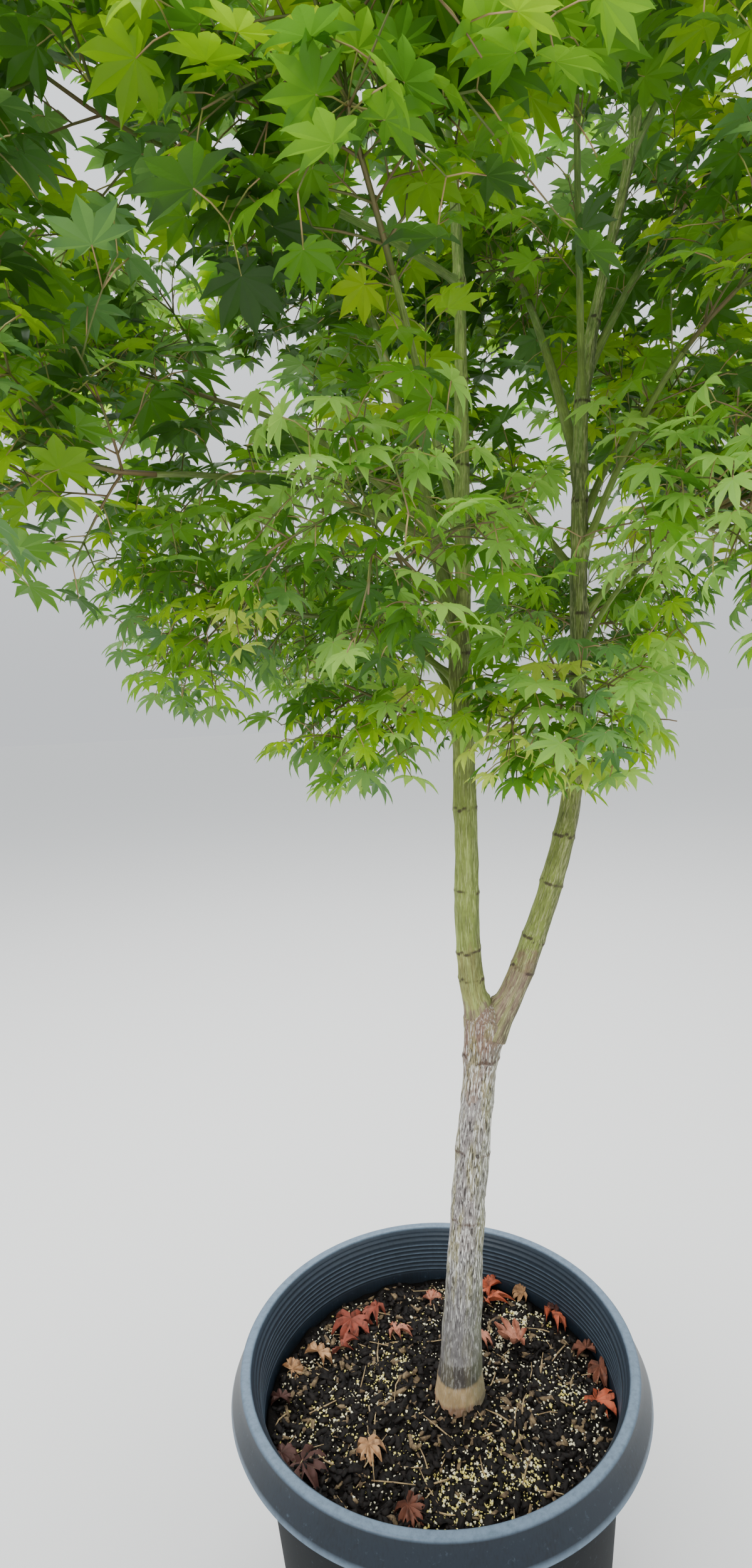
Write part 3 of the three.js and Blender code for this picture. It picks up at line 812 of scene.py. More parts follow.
BOUGH_BARK = Bark(
    "maple_bark_young",
    tones=((0.0, "#6f8438"), (1.9, "#62803a")),
    moss_and_shade=("#4c5c26", 0.45), fleck=("#93a35a", 0.4), fissure=("#4f5628", 0.3), scar="#6a4a34",
    fleck_mm=(1.2, 18.0), stripe=("#9a9c78", 0.4),
)


@dataclass(frozen=True)
class LeafTissue(Finish):
    """A living leaf: a waxy cuticle over green tissue that lets some of the sun through.

    The eye gets a soft gloss from above and a warm glow where the light is behind the leaf. The colour is
    plain, because each spray has a tint of its own, and some of these tints are painted sunlight, painted
    shade and a painted sky sheen.
    """

    blade: str
    glow: str
    through: float = 0.5
    tissue_mm: float = 4.0

    def dress(self, tree: Tree) -> Node:
        """Mix a waxy surface with light that passes through the blade.

        Args:
            tree: The material's nodes.

        Returns:
            The shader.
        """
        tissue = patches(tree, self.tissue_mm, detail=3.0)
        gloss = add_node(
            tree, "MapRange", {"Value": (tissue, "Fac")},
            values={"From Min": 0.3, "From Max": 0.7, "To Min": 0.33, "To Max": 0.48},
        )
        puckered = add_node(
            tree, "Bump", {"Height": (tissue, "Fac")}, values={"Strength": 0.35, "Distance": 0.6 * MM},
        )
        wax = add_node(
            tree, "BsdfPrincipled", {"Roughness": (gloss, 0), "Normal": (puckered, 0)},
            values={"Base Color": linear(self.blade), "IOR": 1.42},
        )
        lit = add_node(tree, "BsdfTranslucent", values={"Color": linear(self.glow)})
        return add_node(tree, "MixShader", {1: (wax, 0), 2: (lit, 0)}, values={0: self.through})


@dataclass(frozen=True)
class StudioFloor(Finish):
    """Matt pale paint, with a faint mottle."""

    paint: str = "#d3d3d1"
    mottle_mm: float = 1000 / 3

    def dress(self, tree: Tree) -> Node:
        """Vary the paint's roughness a little.

        Args:
            tree: The material's nodes.

        Returns:
            The shader.
        """
        mottle = (patches(tree, self.mottle_mm), "Fac")
        rough = add_node(tree, "MapRange", {"Value": mottle}, values={"To Min": 0.75, "To Max": 0.95})
        return add_node(
            tree, "BsdfPrincipled", {"Roughness": (rough, 0)}, values={"Base Color": linear(self.paint)},
        )


# Pot and potting mix


@dataclass
class Pot:
    """The nursery pot, turned round the Z axis, with its drain openings sunk into the foot of the wall."""

    height: float = 0.460
    base_radius: float = 0.230
    base_round: float = 0.012
    floor_radius: float = 0.215
    floor: float = 0.006
    wall: float = 0.004
    shoulder_radius: float = 0.270
    lip_radius: float = 0.290
    lip_inner: float = 0.274
    lip_thickness: float = 0.006
    lip_bevel: float = 0.004
    skirt_radius: float = 0.305
    skirt_drop: float = 0.045
    skirt_thickness: float = 0.004
    skirt_bead: float = 0.0032  # the radius of its rolled edge
    flare_drop: float = 0.022
    ribs: int = 9  # thin raised lines inside, under the rim
    rib_pitch: float = 0.0072
    rib_height: float = 0.0011
    rib_margin: float = 0.004  # between the lip's bevel and the highest rib
    notches: int = 6
    notch_width: float = 0.030
    notch_height: float = 0.038
    notch_depth: float = 0.003
    notch_slope: float = 0.003  # the width of its slanting edge
    lip_wear: float = 0.85
    # a painted highlight along the skirt's lower edge
    edge_wear: float = 0.8
    # a painted highlight on the ribs' crests
    crest_wear: float = 0.8
    wall_wear: float = 0.1
    segments: int = 288
    row: float = 0.002  # the least distance between two rows of points on a wall

    @property
    def rib_foot(self) -> float:
        """The height of the lowest rib's lower edge."""
        return self.height - self.lip_bevel - self.rib_margin - self.ribs * self.rib_pitch

    def wall_outer(self, height: Array | float) -> Array | float:
        """The outer radius of the tapering wall at a height."""
        return self.base_radius + (self.shoulder_radius - self.base_radius) * height / self.height

    def wall_inner(self, height: Array | float) -> Array | float:
        """The inner radius of the tapering wall at a height."""
        return self.wall_outer(height) - self.wall

    def ribbed(self, height: Array) -> Array:
        """The inner radius under the rim: the wall's, flaring out to the lip, less the ribs.

        With s the share of its pitch, a rib stands up by rib_height * (1 - 3.2 |s - 1/2|)^0.7 where the
        bracket is above 0.

        Args:
            height: Heights.

        Returns:
            The radius at each.
        """
        share = (height - self.rib_foot) / self.rib_pitch
        crest = np.clip(1 - np.abs((share % 1) - 0.5) * 3.2, 0, 1)
        flare = np.clip((height - (self.height - self.flare_drop)) / self.flare_drop, 0, 1)
        return self.wall_inner(height) * (1 - flare) + self.lip_inner * flare - self.rib_height * crest**0.7

    @staticmethod
    def arc(radius: float, height: float, size: float, quarters: tuple[int, int], count: int) -> Array:
        """Points of an arc: (radius, height) + size * (cos(t), sin(t)), between two quarter turns."""
        return np.array([radius, height]) + size * headings(np.linspace(*quarters, count) * TURN / 4)

    @staticmethod
    def straight(start: float, end: float, radius_at: Callable[[Array], Array], count: int) -> Array:
        """Points of a wall between two heights, at the radius that `radius_at` gives for each."""
        heights = np.linspace(start, end, count)
        return np.stack([radius_at(heights), heights], axis=1)

    def profile(self) -> Array:
        """Lay out the section: up the outside from the middle of the underside, and down the inside.

        The walls are straight between two heights, and the corners, the lip and the skirt's bead are arcs.

        Returns:
            (n, 2) radii and heights.
        """
        top, row, corner = self.height, self.row, self.base_round
        bevel, bead = self.lip_bevel, self.skirt_bead
        skirt_foot, flare_foot, under_lip = (
            top - drop for drop in (self.skirt_drop, self.flare_drop, self.lip_thickness)
        )
        return np.concatenate([
            [[0.0, 0.0], [0.05, 0.0], [0.12, 0.0], [self.base_radius - 0.03, 0.0]],
            self.arc(self.base_radius - corner, corner, corner, (-1, 0), 6),
            self.straight(corner + row, self.notch_height + 3 * row, self.wall_outer, 16),
            self.straight(self.notch_height + 10 * row, skirt_foot - 5 * row, self.wall_outer, 14),
            self.straight(skirt_foot, flare_foot, self.wall_outer, 4),
            [[self.lip_inner + self.wall, under_lip], [self.lip_radius - self.skirt_thickness, under_lip]],
            [[self.skirt_radius - self.skirt_thickness - row, skirt_foot + 3 * row]],
            self.arc(self.skirt_radius - bead, skirt_foot + bead, bead, (-2, 0), 7),
            [[self.skirt_radius - 0.9 * bead, skirt_foot + 3.2 * bead]],
            [[self.lip_radius + 0.0035, top - 0.35 * self.skirt_drop]],
            self.arc(self.lip_radius - bevel, top - bevel, bevel, (0, 1), 5),
            self.arc(self.lip_inner + bevel, top - bevel, bevel, (1, 2), 5),
            self.straight(top - bevel - row, self.rib_foot - row, self.ribbed, 8 * self.ribs + 1),
            self.straight(self.rib_foot - 10 * row, self.floor + corner, self.wall_inner, 5),
            [[self.floor_radius, self.floor], [0.1, self.floor], [0.0, self.floor]],
        ])

    def wear(self, profile: Array) -> Array:
        """Work out how dusty or rubbed the plastic is, with its painted highlights, from 0 to 1.

        It is most on the lip, as dust, and along the skirt's lower edge, as a painted highlight. On the
        ribbed zone inside it grows with the height, and from the wall's own to the painted highlight of the
        crest with the fourth power of the rib's height.

        Args:
            profile: The section.

        Returns:
            The wear at each of its points.
        """
        radius, height = profile.T
        lip = np.clip(1 - (self.height - height) / 0.0035, 0, 1)
        up_skirt = height - self.height + self.skirt_drop
        edge = self.edge_wear * np.exp(-((up_skirt / 0.003 - 1) ** 2)) * (radius > self.lip_radius)
        zone = self.height - self.rib_foot + self.row
        high = np.clip((height - self.height + zone) / zone, 0, 1)
        crest = np.clip((self.wall_inner(height) - radius) / self.rib_height, 0, 1)
        ribbed = (self.wall_wear + self.crest_wear * crest**4) * (high > 0) * (0.65 + 0.35 * high)
        past_lip = np.arange(len(profile)) > height.argmax() + 4
        return np.maximum(self.lip_wear * lip, np.where(past_lip, ribbed, edge))

    def surface(self) -> Surface:
        """Turn the section, and sink each notch where its arch covers the outer wall.

        An arch is all that lies less than half its width from an upright line, whose upper end stands
        half its width below its top.

        Returns:
            The pot, with its dust, wear and painted highlights as one mark.
        """
        profile = self.profile()
        angles = np.arange(self.segments) * TURN / self.segments
        pitch = TURN / self.notches
        across = ((angles / pitch) % 1 - 0.5) * pitch * self.base_radius
        half = self.notch_width / 2
        above = np.clip(profile[1:-1, 1:] - (self.notch_height - half), 0, None)
        sunk = np.clip((half - np.sqrt(across**2 + above**2)) / self.notch_slope, 0, 1)
        outside = np.arange(1, len(profile) - 1)[:, None] < profile[:, 1].argmax()
        shell = revolved(profile, angles, -self.notch_depth * sunk * outside)
        wear = self.wear(profile)
        shell.marks["wear"] = np.concatenate([np.repeat(wear[1:-1], self.segments), wear[[0, -1]]])
        return shell

    def build(self) -> None:
        """Make the pot's piece."""
        finish = MouldedPlastic("weathered_black_polyethylene")
        add_piece("pot_shell", self.surface(), finish, "pot_plastic", ["pot"])


@dataclass(frozen=True)
class Bits:
    """One kind of loose bits in the mix.

    Few of them have the most `length`, and their thickness and width are shares of it. Where `between` is
    given, they lie in drifts, and as thickly as that between these.
    """

    name: str
    count: int
    length: Span
    thick: float
    wide: float
    finish: Crumb
    between: float | None = None


@dataclass
class PottingMix:
    """The bark mix in the pot, with its chips, perlite and straw."""

    pot: Pot
    top: float = 0.374
    flat_radius: float = 0.090
    edge_drop: float = 0.004
    gap: float = 0.0004  # to the pot
    margin: float = 0.012  # between the wall and the middle of a loose bit
    rings: int = 62
    segments: int = 240
    swells: int = 48
    swell_length: Span = (0.006, 0.09)
    swell_steepness: float = 0.010
    bits: tuple[Bits, ...] = (
        Bits(
            "bark_chips", 4600, (0.003, 0.016), 0.3, 0.5,
            Crumb("bark_chips_dark", "#050403", "#1d1510", roughness=0.7, gloss=0.25),
        ),
        Bits("tan_chips", 657, (0.004, 0.020), 0.22, 0.32, Crumb("bark_chips_tan", "#3e2d20", "#8f7a58")),
        Bits(
            "perlite_cream", 4200, (0.0012, 0.0035), 0.8, 0.8,
            Crumb("perlite_cream", "#f0e2ae", "#fffbe0"), between=1.0,
        ),
        Bits(
            "perlite_yellow", 2100, (0.0012, 0.0035), 0.8, 0.8,
            Crumb("perlite_yellow", "#e0cc62", "#fcf094"), between=0.05,
        ),
    )
    drifts: tuple[tuple[float, ...], ...] = (  # x, y and spread in millimetres, and strength
        (28, -156, 30, 12), (106, -134, 24, 7), (-14, -170, 20, 6), (-180, -25, 45, 1.6),
        (-78, 55, 42, 1.4), (82, -78, 34, 1.4), (140, 150, 40, 1.4), (165, -10, 34, 1.2),
    )
    straws: int = 90
    straw_length: Span = (0.015, 0.065)
    straw_radius: Span = (0.0006, 0.0013)
    straw_lift: float = 0.002
    seed: int = 7

    @property
    def room(self) -> float:
        """The radius within which loose bits lie."""
        return self.pot.wall_inner(self.top) - self.margin

    def height_at(self, places: Array) -> Array:
        """The surface's height: flat in the middle, falling to the edge, plus a sum of plane waves.

        Each wave is cos(k . place + phase) times a height that grows with its wavelength.

        Args:
            places: (..., 2) level coordinates.

        Returns:
            (...) heights.
        """
        rng = np.random.default_rng(self.seed)
        edge = self.pot.wall_inner(self.top)
        outer = (np.linalg.norm(places, axis=-1) - self.flat_radius) / (edge - self.flat_radius)
        height = self.top - self.edge_drop * np.clip(outer, 0, 1)
        for _ in range(self.swells):
            length = rng.uniform(*self.swell_length)
            wave = TURN / length * (places @ headings(rng.uniform(0, TURN)))
            height = height + self.swell_steepness * length * np.cos(wave + rng.uniform(0, TURN))
        return height

    def ground(self) -> Surface:
        """Turn the mix as a solid body whose top follows `height_at`.

        Returns:
            Its surface.
        """
        pot, gap = self.pot, self.gap
        edge, floor = self.top - self.edge_drop, self.pot.floor + gap
        rows = np.linspace(0.992, 0.02, self.rings) * (pot.wall_inner(edge) - gap)
        low = [
            [0.0, floor],
            [pot.floor_radius - gap, floor],
            [pot.wall_inner(floor + pot.base_round) - gap, floor + pot.base_round],
            [pot.wall_inner(edge) - gap, edge - 0.004],
        ]
        upper = np.column_stack([rows, np.full_like(rows, self.top)])
        profile = np.concatenate([low, upper, [[0.0, self.top]]])
        surface = revolved(profile, np.arange(self.segments) * TURN / self.segments)
        raised = surface.points[:, 2] > edge - 0.003
        surface.points[raised, 2] = self.height_at(surface.points[raised, :2])
        return surface

    def scattered(self, count: int, rng: Draws, lift: float = 0.0) -> Array:
        """Draw places all over the mix, at radius = room * sqrt(draw) so that they lie evenly.

        Args:
            count: How many.
            rng: Their source.
            lift: How far above the surface.

        Returns:
            (count, 3) places.
        """
        radius = self.room * np.sqrt(rng.uniform(0, 1, count))
        level = radius[:, None] * headings(rng.uniform(0, TURN, count))
        return np.column_stack([level, self.height_at(level) + lift])

    def drifted(self, count: int, rng: Draws, between: float, spare: int = 6) -> Array:
        """Draw places that lie in drifts, out of several times as many even ones, by a weight.

        The weight is between * exp(half a slow sum of waves) plus strength * exp(-(distance / spread)^2)
        for each drift.

        Args:
            count: How many.
            rng: The source of the places and of the choice.
            between: How thickly they lie between the drifts.
            spare: How many even places there are for each.

        Returns:
            (count, 3) places.
        """
        places = self.scattered(spare * count, rng)
        level = places[:, :2]
        slow = sum(np.cos(level @ rng.normal(0, 28, 2) + rng.uniform(0, TURN)) for _ in range(6))
        table = np.array(self.drifts)
        away = np.linalg.norm(level[:, None] - table[:, :2] * MM, axis=2) / (table[:, 2] * MM)
        weight = between * np.exp(0.5 * slow) + (table[:, 3] * np.exp(-(away**2))).sum(axis=1)
        return places[rng.choice(len(places), count, replace=False, p=weight / weight.sum())]

    def build(self) -> None:
        """Make the mix's pieces."""
        rng = np.random.default_rng(self.seed + 1)
        dark = Crumb("composted_bark", "#030302", "#120d0a", gloss=0.12)
        add_piece("mix_surface", self.ground(), dark, "potting_mix", ["potting_mix"])
        for bits in self.bits:
            self.build_bits(bits, rng)
        self.build_straws(rng)

    def build_bits(self, bits: Bits, rng: Draws) -> None:
        """Make one kind of loose bits, with lengths least + (most - least) * draw^2.

        Args:
            bits: The kind.
            rng: The source of their places and sizes.
        """
        if bits.between is None:
            places = self.scattered(bits.count, rng)
        else:
            places = self.drifted(bits.count, rng, bits.between)
        least, most = bits.length
        long = least + (most - least) * rng.uniform(0, 1, bits.count) ** 2
        sizes = long[:, None] * (1, bits.wide, bits.thick)
        surface = crumbs(places + UP * sizes[:, 2:] * 0.2, sizes, rng)
        add_piece(bits.name, surface, bits.finish, "potting_mix", [])

    def build_straws(self, rng: Draws) -> None:
        """Make the thin dry twigs on the mix, each a gentle bow between two places on it.

        Args:
            rng: The source of their places and sizes.
        """
        start = self.scattered(self.straws, rng, self.straw_lift)
        course = headings(rng.uniform(0, TURN, self.straws))
        end = start.copy()
        end[:, :2] += rng.uniform(*self.straw_length, self.straws)[:, None] * course
        radius = np.linalg.norm(end[:, :2], axis=1, keepdims=True)
        end[:, :2] *= np.minimum(1, self.room / radius)
        end[:, 2] = self.height_at(end[:, :2]) + 1.25 * self.straw_lift
        middle = (start + end) / 2 + rng.normal(0, 0.002, start.shape)
        middle[:, 2] = np.maximum(middle[:, 2], self.height_at(middle[:, :2]) + self.straw_lift)
        radii = rng.uniform(*self.straw_radius, (self.straws, 1, 1)) * np.array([[[1.0], [1.0], [0.6]]])
        surface = swept(np.stack([start, middle, end], axis=1), radii, 5)
        straw = Crumb("dry_straw", "#7d6647", "#c2a878", patch_mm=12.0)
        add_piece("straws", surface, straw, "potting_mix", [])


# Trunk, stems and boughs


@dataclass
class Limb:
    """One tapering limb.

    Its girths are shares of its length with the diameters there, and its carrier is the limb that it stands
    on, or nothing for the trunk.
    """

    name: str
    path: Path
    girths: Array
    carrier: "Limb | None" = None

    def radius_at(self, share: Array | float) -> Array | float:
        """The radius at a share of the length."""
        return np.interp(share, self.girths[:, 0], self.girths[:, 1]) / 2

    def clearance(self, places: Array, samples: int = 120) -> Array:
        """How far places lie outside this limb's skin: the least distance to its line, less its radius.

        Args:
            places: (n, 3) places.
            samples: How many places of the line are tried.

        Returns:
            (n,) distances, below 0 inside.
        """
        shares = np.linspace(0, 1, samples)
        line, radius = self.path.at(shares), self.radius_at(shares)
        return (np.linalg.norm(places[:, None] - line, axis=2) - radius).min(axis=1)


@dataclass(frozen=True)
class Skin:
    """How a limb's mesh is made, and of what.

    Attributes:
        finish: Its bark.
        slot: The record's material slot.
        rings: Rings along it.
        sides: Points of a ring.
        relief: Height of its broad lumps in metres, with finer ridges at a third of that.
        scars: Heights of its ring scars, and how strongly each shows.
        welt: How far a scar stands out.
        scar_width: Its half width.
        lobes: How much wider its root lobes make the foot, as a share.
        lobe_length: How far up the limb they fade.
        dome: Length of the rounded end past its path.
    """

    finish: Bark
    slot: str
    rings: int
    sides: int
    relief: float
    scars: dict[float, float] = field(default_factory=dict)
    welt: float = 0.0011
    scar_width: float = 0.002
    lobes: float = 0.0
    lobe_length: float = 0.045
    dome: float = 0.0

    def scarred(self, heights: Array, run: Array, around: Array, rng: Draws) -> tuple[Array, Array]:
        """Work out the ring scars and the low collar that each one sits on.

        A scar is strength * exp(-(s / width)^2), where s is the length from its ring. Waves thin it to
        between a quarter and all of that round the limb. The ring is tilted by 1 to 3 mm and wrinkled by
        about half its width. The collar is strength * exp(-(s / (5 * width))^2).

        Args:
            heights: (rings,) heights of the line.
            run: (rings, 1) lengths along it.
            around: (sides,) angles.
            rng: The source of the tilts, gaps and wrinkles.

        Returns:
            (rings, sides) scars, and the collars added up.
        """
        scar = np.zeros((self.rings, self.sides))
        collar = np.zeros_like(scar)
        for height, strength in self.scars.items():
            middle = np.interp(height, heights, run[:, 0])
            tilt = rng.uniform(0.001, 0.003) * np.cos(around + rng.uniform(0, TURN))
            thinned = rng.uniform(0.6, 1.0) + 0.35 * waves(around, run, rng, 5, (1, 5), (0.05, 0.3))
            wrinkle = 0.45 * self.scar_width * waves(around, 0 * run, rng, 6, (3, 11), (0.05, 0.3))
            away = (run - middle - tilt - wrinkle) / self.scar_width
            scar = np.maximum(scar, strength * np.exp(-(away**2)) * np.clip(thinned, 0.25, 1))
            collar += strength * np.exp(-((away / 5) ** 2))
        return scar, collar

    def surface(self, limb: Limb, rng: Draws) -> Surface:
        """Sweep the limb's ring along its line, with its relief, its scars and its rounded end.

        The lobes widen the foot by a share lobes * cos(3 * angle) * exp(-length / lobe_length). A scar
        stands out by welt, and its collar by 0.6 of that. The rounded end is a half ellipse.

        Args:
            limb: The limb.
            rng: The source of the relief.

        Returns:
            The surface, with the mark `scar` where a scar shows.
        """
        share = np.linspace(0, 1, self.rings)
        line, around = limb.path.at(share), np.arange(self.sides) * TURN / self.sides
        run = (share * limb.path.length)[:, None]
        radius = limb.radius_at(share)[:, None] * np.ones(self.sides)
        radius *= 1 + self.lobes * np.cos(3 * around + 0.8) * np.exp(-run / self.lobe_length)
        radius += self.relief * waves(around, run, rng, 16, (1, 6), (0.05, 0.3))
        finest = max(8, self.sides // 4)
        radius += self.relief / 3 * waves(around, run, rng, 22, (7, finest), (0.015, 0.12))
        scar, collar = self.scarred(line[:, 2], run, around, rng)
        radius += self.welt * (scar + 0.6 * collar)
        if self.dome:
            lift = np.sin(np.linspace(0, TURN / 4, 10)[1:])[:, None]
            line = np.concatenate([line, line[-1] + limb.path.heading(1.0) * lift * self.dome])
            radius = np.concatenate([radius, radius[-1] * np.sqrt(np.clip(1 - lift**2, 4e-4, 1))])
            scar = np.concatenate([scar, np.zeros((len(lift), self.sides))])
        tube = swept(line[None], radius[None], self.sides)
        tube.marks["scar"] = scar.ravel()
        return tube


SKINS = {
    "trunk": Skin(
        TRUNK_BARK, "trunk_bark", rings=250, sides=96, relief=0.0007, welt=0.0015, scar_width=0.0028,
        scars={0.576: 0.3, 0.66: 0.6, 0.695: 0.35, 0.759: 0.65, 0.831: 0.4, 0.901: 1.0},
        lobes=0.07, dome=0.016,
    ),
    "left_stem": Skin(
        LEFT_STEM_BARK, "stem_bark", rings=420, sides=48, relief=0.0004,
        scars=dict.fromkeys(
            (1.018, 1.059, 1.145, 1.262, 1.39, 1.476, 1.558, 1.64, 1.72, 1.83, 1.95, 2.08), 1.0,
        ),
    ),
    "right_stem": Skin(
        RIGHT_STEM_BARK, "stem_bark", rings=420, sides=48, relief=0.0004,
        scars=dict.fromkeys((1.027, 1.07, 1.15, 1.215, 1.332, 1.435, 1.52, 1.668, 1.79, 1.9, 2.03), 1.0),
    ),
    "bough": Skin(BOUGH_BARK, "bough_bark", rings=44, sides=16, relief=0.00012, welt=0.0006),
}


def merge_swell(tube: Surface, limb: Limb, others: list[tuple[Limb, float]]) -> None:
    """Swell a limb's skin towards the limbs that it meets, so that they flow into each other.

    A point whose distance from the other skin is d moves outwards by (k - |d|)^2 / (4 k) where |d| < k.

    Args:
        tube: The skin, changed in place.
        limb: Its limb.
        others: The limbs it meets, each with its k.
    """
    line = limb.path.at(np.linspace(0, 1, 400))
    for other, reach in others:
        start = other.path.points[0] if other.carrier is limb else limb.path.points[0]
        close = np.flatnonzero(np.linalg.norm(tube.points - start, axis=1) < 0.16)
        if not len(close):
            continue
        places = tube.points[close]
        gap = np.clip(reach - np.abs(other.clearance(places)), 0, None) ** 2 / (4 * reach)
        nearest = np.linalg.norm(places[:, None] - line[None], axis=2).argmin(axis=1)
        tube.points[close] = places + unit(places - line[nearest]) * gap[:, None]


class Storey(Enum):
    """The storeys of the crown, by the record's material slots."""

    LOW = "leaves_low"
    MIDDLE = "leaves_middle"
    HIGH = "leaves_high"


STOREY_TOPS = (1.65, 2.15)


@dataclass
class Mass:
    """One bough's foliage, in an ellipsoid with a heading.

    Attributes:
        name: Its name.
        limb: The limb whose tip it grows on.
        heading: The level direction of its length.
        middle: Its middle.
        half: Its half size along the heading, across it and upwards.
        cover: The share of its leaves that stay, lower where the photo shows the stems between them.
    """

    name: str
    limb: Limb
    heading: Array
    middle: Array
    half: Array
    cover: float = 1.0

    @property
    def storey(self) -> Storey:
        """The storey that its middle lies in."""
        return list(Storey)[sum(self.middle[2] >= top for top in STOREY_TOPS)]


def level_heading(azimuth: float) -> Array:
    """The level unit vector at an azimuth in degrees, 0 along +X and 90 along +Y."""
    return np.append(headings(math.radians(azimuth)), 0.0)


@dataclass
class Timber:
    """The trunk, the two stems and the boughs, with the curves that the solids have.

    Tables are in millimetres and degrees, but the trunk's line is in metres. A stem has stations: x, y,
    height and diameter. A bough leaves the limb `on` at a height and heads for the middle of its mass of
    foliage: name, on, height, azimuth, reach, the middle's height, arch, girth at foot and tip, the mass's
    half size along its heading, across it and upwards, and its cover where that is below 1. A tip is the
    foliage on a stem's own tip: name, stem, azimuth, shift, rise and half size.
    """

    line: tuple = (  # the trunk's foot, bend and top, in metres
        (0.030, 0.005, 0.362), (0.049, 0.005, 0.666), (0.093, 0.005, 0.966),
    )
    girth: tuple = (  # shares of the trunk's length, and diameters there
        (0, 80), (0.05, 72), (0.1, 64), (0.22, 56), (0.4, 50.5),
        (0.6, 48.5), (0.86, 46), (0.94, 54), (0.98, 57), (1, 44),
    )
    stems: tuple = (
        ("left_stem", (
            (88, 5, 936, 40), (77, 4, 990, 35), (72, 4, 1060, 34.5), (75, 2, 1250, 32), (77, 1, 1400, 30),
            (76, 0, 1490, 29), (83, 0, 1550, 21.5), (89, 0, 1715, 19.5), (95, 0, 1990, 14), (86, 0, 2110, 12),
            (42, 0, 2212, 10.5), (22, 5, 2360, 9.5), (30, 12, 2560, 8),
        )),
        ("right_stem", (
            (98, 5, 932, 40), (131, 5, 990, 35), (180, 4, 1114, 32), (218, 3, 1240, 28.5), (232, 2, 1340, 23),
            (242, 1, 1590, 21.5), (254, 0, 1815, 17.5), (284, 20, 1940, 14), (336, 40, 2130, 12),
            (360, 60, 2335, 10), (350, 66, 2600, 8),
        )),
    )
    boughs: tuple = (
        ("low_left", "left_stem", 1352, 205, 150, 1425, 5, (7, 5), (165, 145, 125), 0.75),
        ("low_right", "right_stem", 1348, 250, 150, 1420, 5, (7, 5), (165, 155, 120), 0.75),
        ("low_back", "right_stem", 1395, 70, 235, 1530, 10, (9, 6), (230, 205, 155)),
        ("low_front", "left_stem", 1470, 246, 265, 1600, 20, (9, 6), (230, 195, 145), 0.5),
        ("front_right", "right_stem", 1455, 296, 255, 1605, 15, (9, 6), (230, 200, 155), 0.5),
        ("left_low", "left_stem", 1430, 172, 330, 1580, 25, (10, 6), (250, 215, 160)),
        ("back_left_low", "left_stem", 1390, 114, 320, 1570, 20, (10, 6), (240, 230, 170)),
        ("right_low", "right_stem", 1500, 8, 310, 1690, 25, (11, 7), (250, 230, 185)),
        ("long_left", "left_stem", 1595, 214, 580, 1720, 55, (11, 6), (260, 215, 180), 0.8),
        ("front_left", "left_stem", 1610, 252, 415, 1900, -20, (11, 7), (200, 245, 220), 0.85),
        ("upper_left", "left_stem", 1950, 219, 560, 2030, 30, (11, 6), (285, 230, 190)),
        ("left_back", "left_stem", 1492, 115, 385, 2080, -10, (25, 13), (260, 280, 245)),
        ("left_side", "left_back", 1640, 178, 420, 1895, 30, (12, 7), (260, 245, 215)),
        ("back_middle", "right_stem", 1565, 112, 390, 1810, 10, (12, 7), (240, 230, 190)),
        ("back_right", "right_stem", 1625, 52, 385, 1885, 20, (13, 7), (250, 245, 215)),
        ("right_back", "right_stem", 1700, 100, 330, 2085, 0, (16, 10), (240, 230, 220)),
        ("right_front", "right_stem", 1580, 318, 300, 1880, 15, (11, 7), (250, 230, 220), 0.7),
        ("right_upper", "right_stem", 1820, 28, 350, 2140, 0, (12, 8), (275, 255, 240)),
        ("front_middle", "right_stem", 1790, 256, 300, 2100, 5, (10, 7), (200, 230, 215), 0.65),
        ("high_left", "left_stem", 2120, 186, 380, 2360, 10, (9, 6), (260, 245, 225)),
        ("high_front", "left_stem", 2090, 262, 310, 2390, 0, (9, 6), (230, 255, 220)),
        ("high_back", "left_stem", 2180, 92, 300, 2455, 0, (9, 6), (240, 255, 240)),
        ("high_right", "right_stem", 2110, 4, 320, 2430, 5, (10, 7), (250, 245, 245)),
        ("high_right_back", "right_stem", 2210, 82, 280, 2500, 0, (9, 6), (240, 230, 240)),
        ("high_right_front", "right_stem", 2160, 290, 280, 2430, 5, (9, 6), (230, 230, 230)),
    )
    tips: tuple = (
        ("left_top", "left_stem", 200, 30, 190, (260, 255, 290)),
        ("right_top", "right_stem", 20, 25, 215, (255, 250, 315)),
    )
    entry: float = 0.62  # a bough's tip stands this share of its mass's half length before the middle
    sink: float = 0.3  # and this share of its half height lower
    rise: float = 0.12  # how much its bend stands up, as a share of its own rise
    fork_swell: float = 0.030
    foot_swell: float = 0.010
    bough_swell: float = 0.012
    seed: int = 31
    limbs: dict[str, Limb] = field(init=False)
    masses: list[Mass] = field(init=False)

    def __post_init__(self) -> None:
        """Lay out every limb's middle line, and the masses that the boughs lead to."""
        self.limbs = {"trunk": Limb("trunk", bezier(*self.line), np.array(self.girth) * (1, MM))}
        for name, stations in self.stems:
            table = np.array(stations) * MM
            path = spline(table[:, :3])
            widths = np.interp(path.points[:, 2], table[:, 2], table[:, 3])
            self.limbs[name] = Limb(name, path, np.column_stack([path.shares, widths]), self.limbs["trunk"])
        self.masses = [self.add_bough(*row) for row in self.boughs]
        self.masses += [self.add_tip(*row) for row in self.tips]

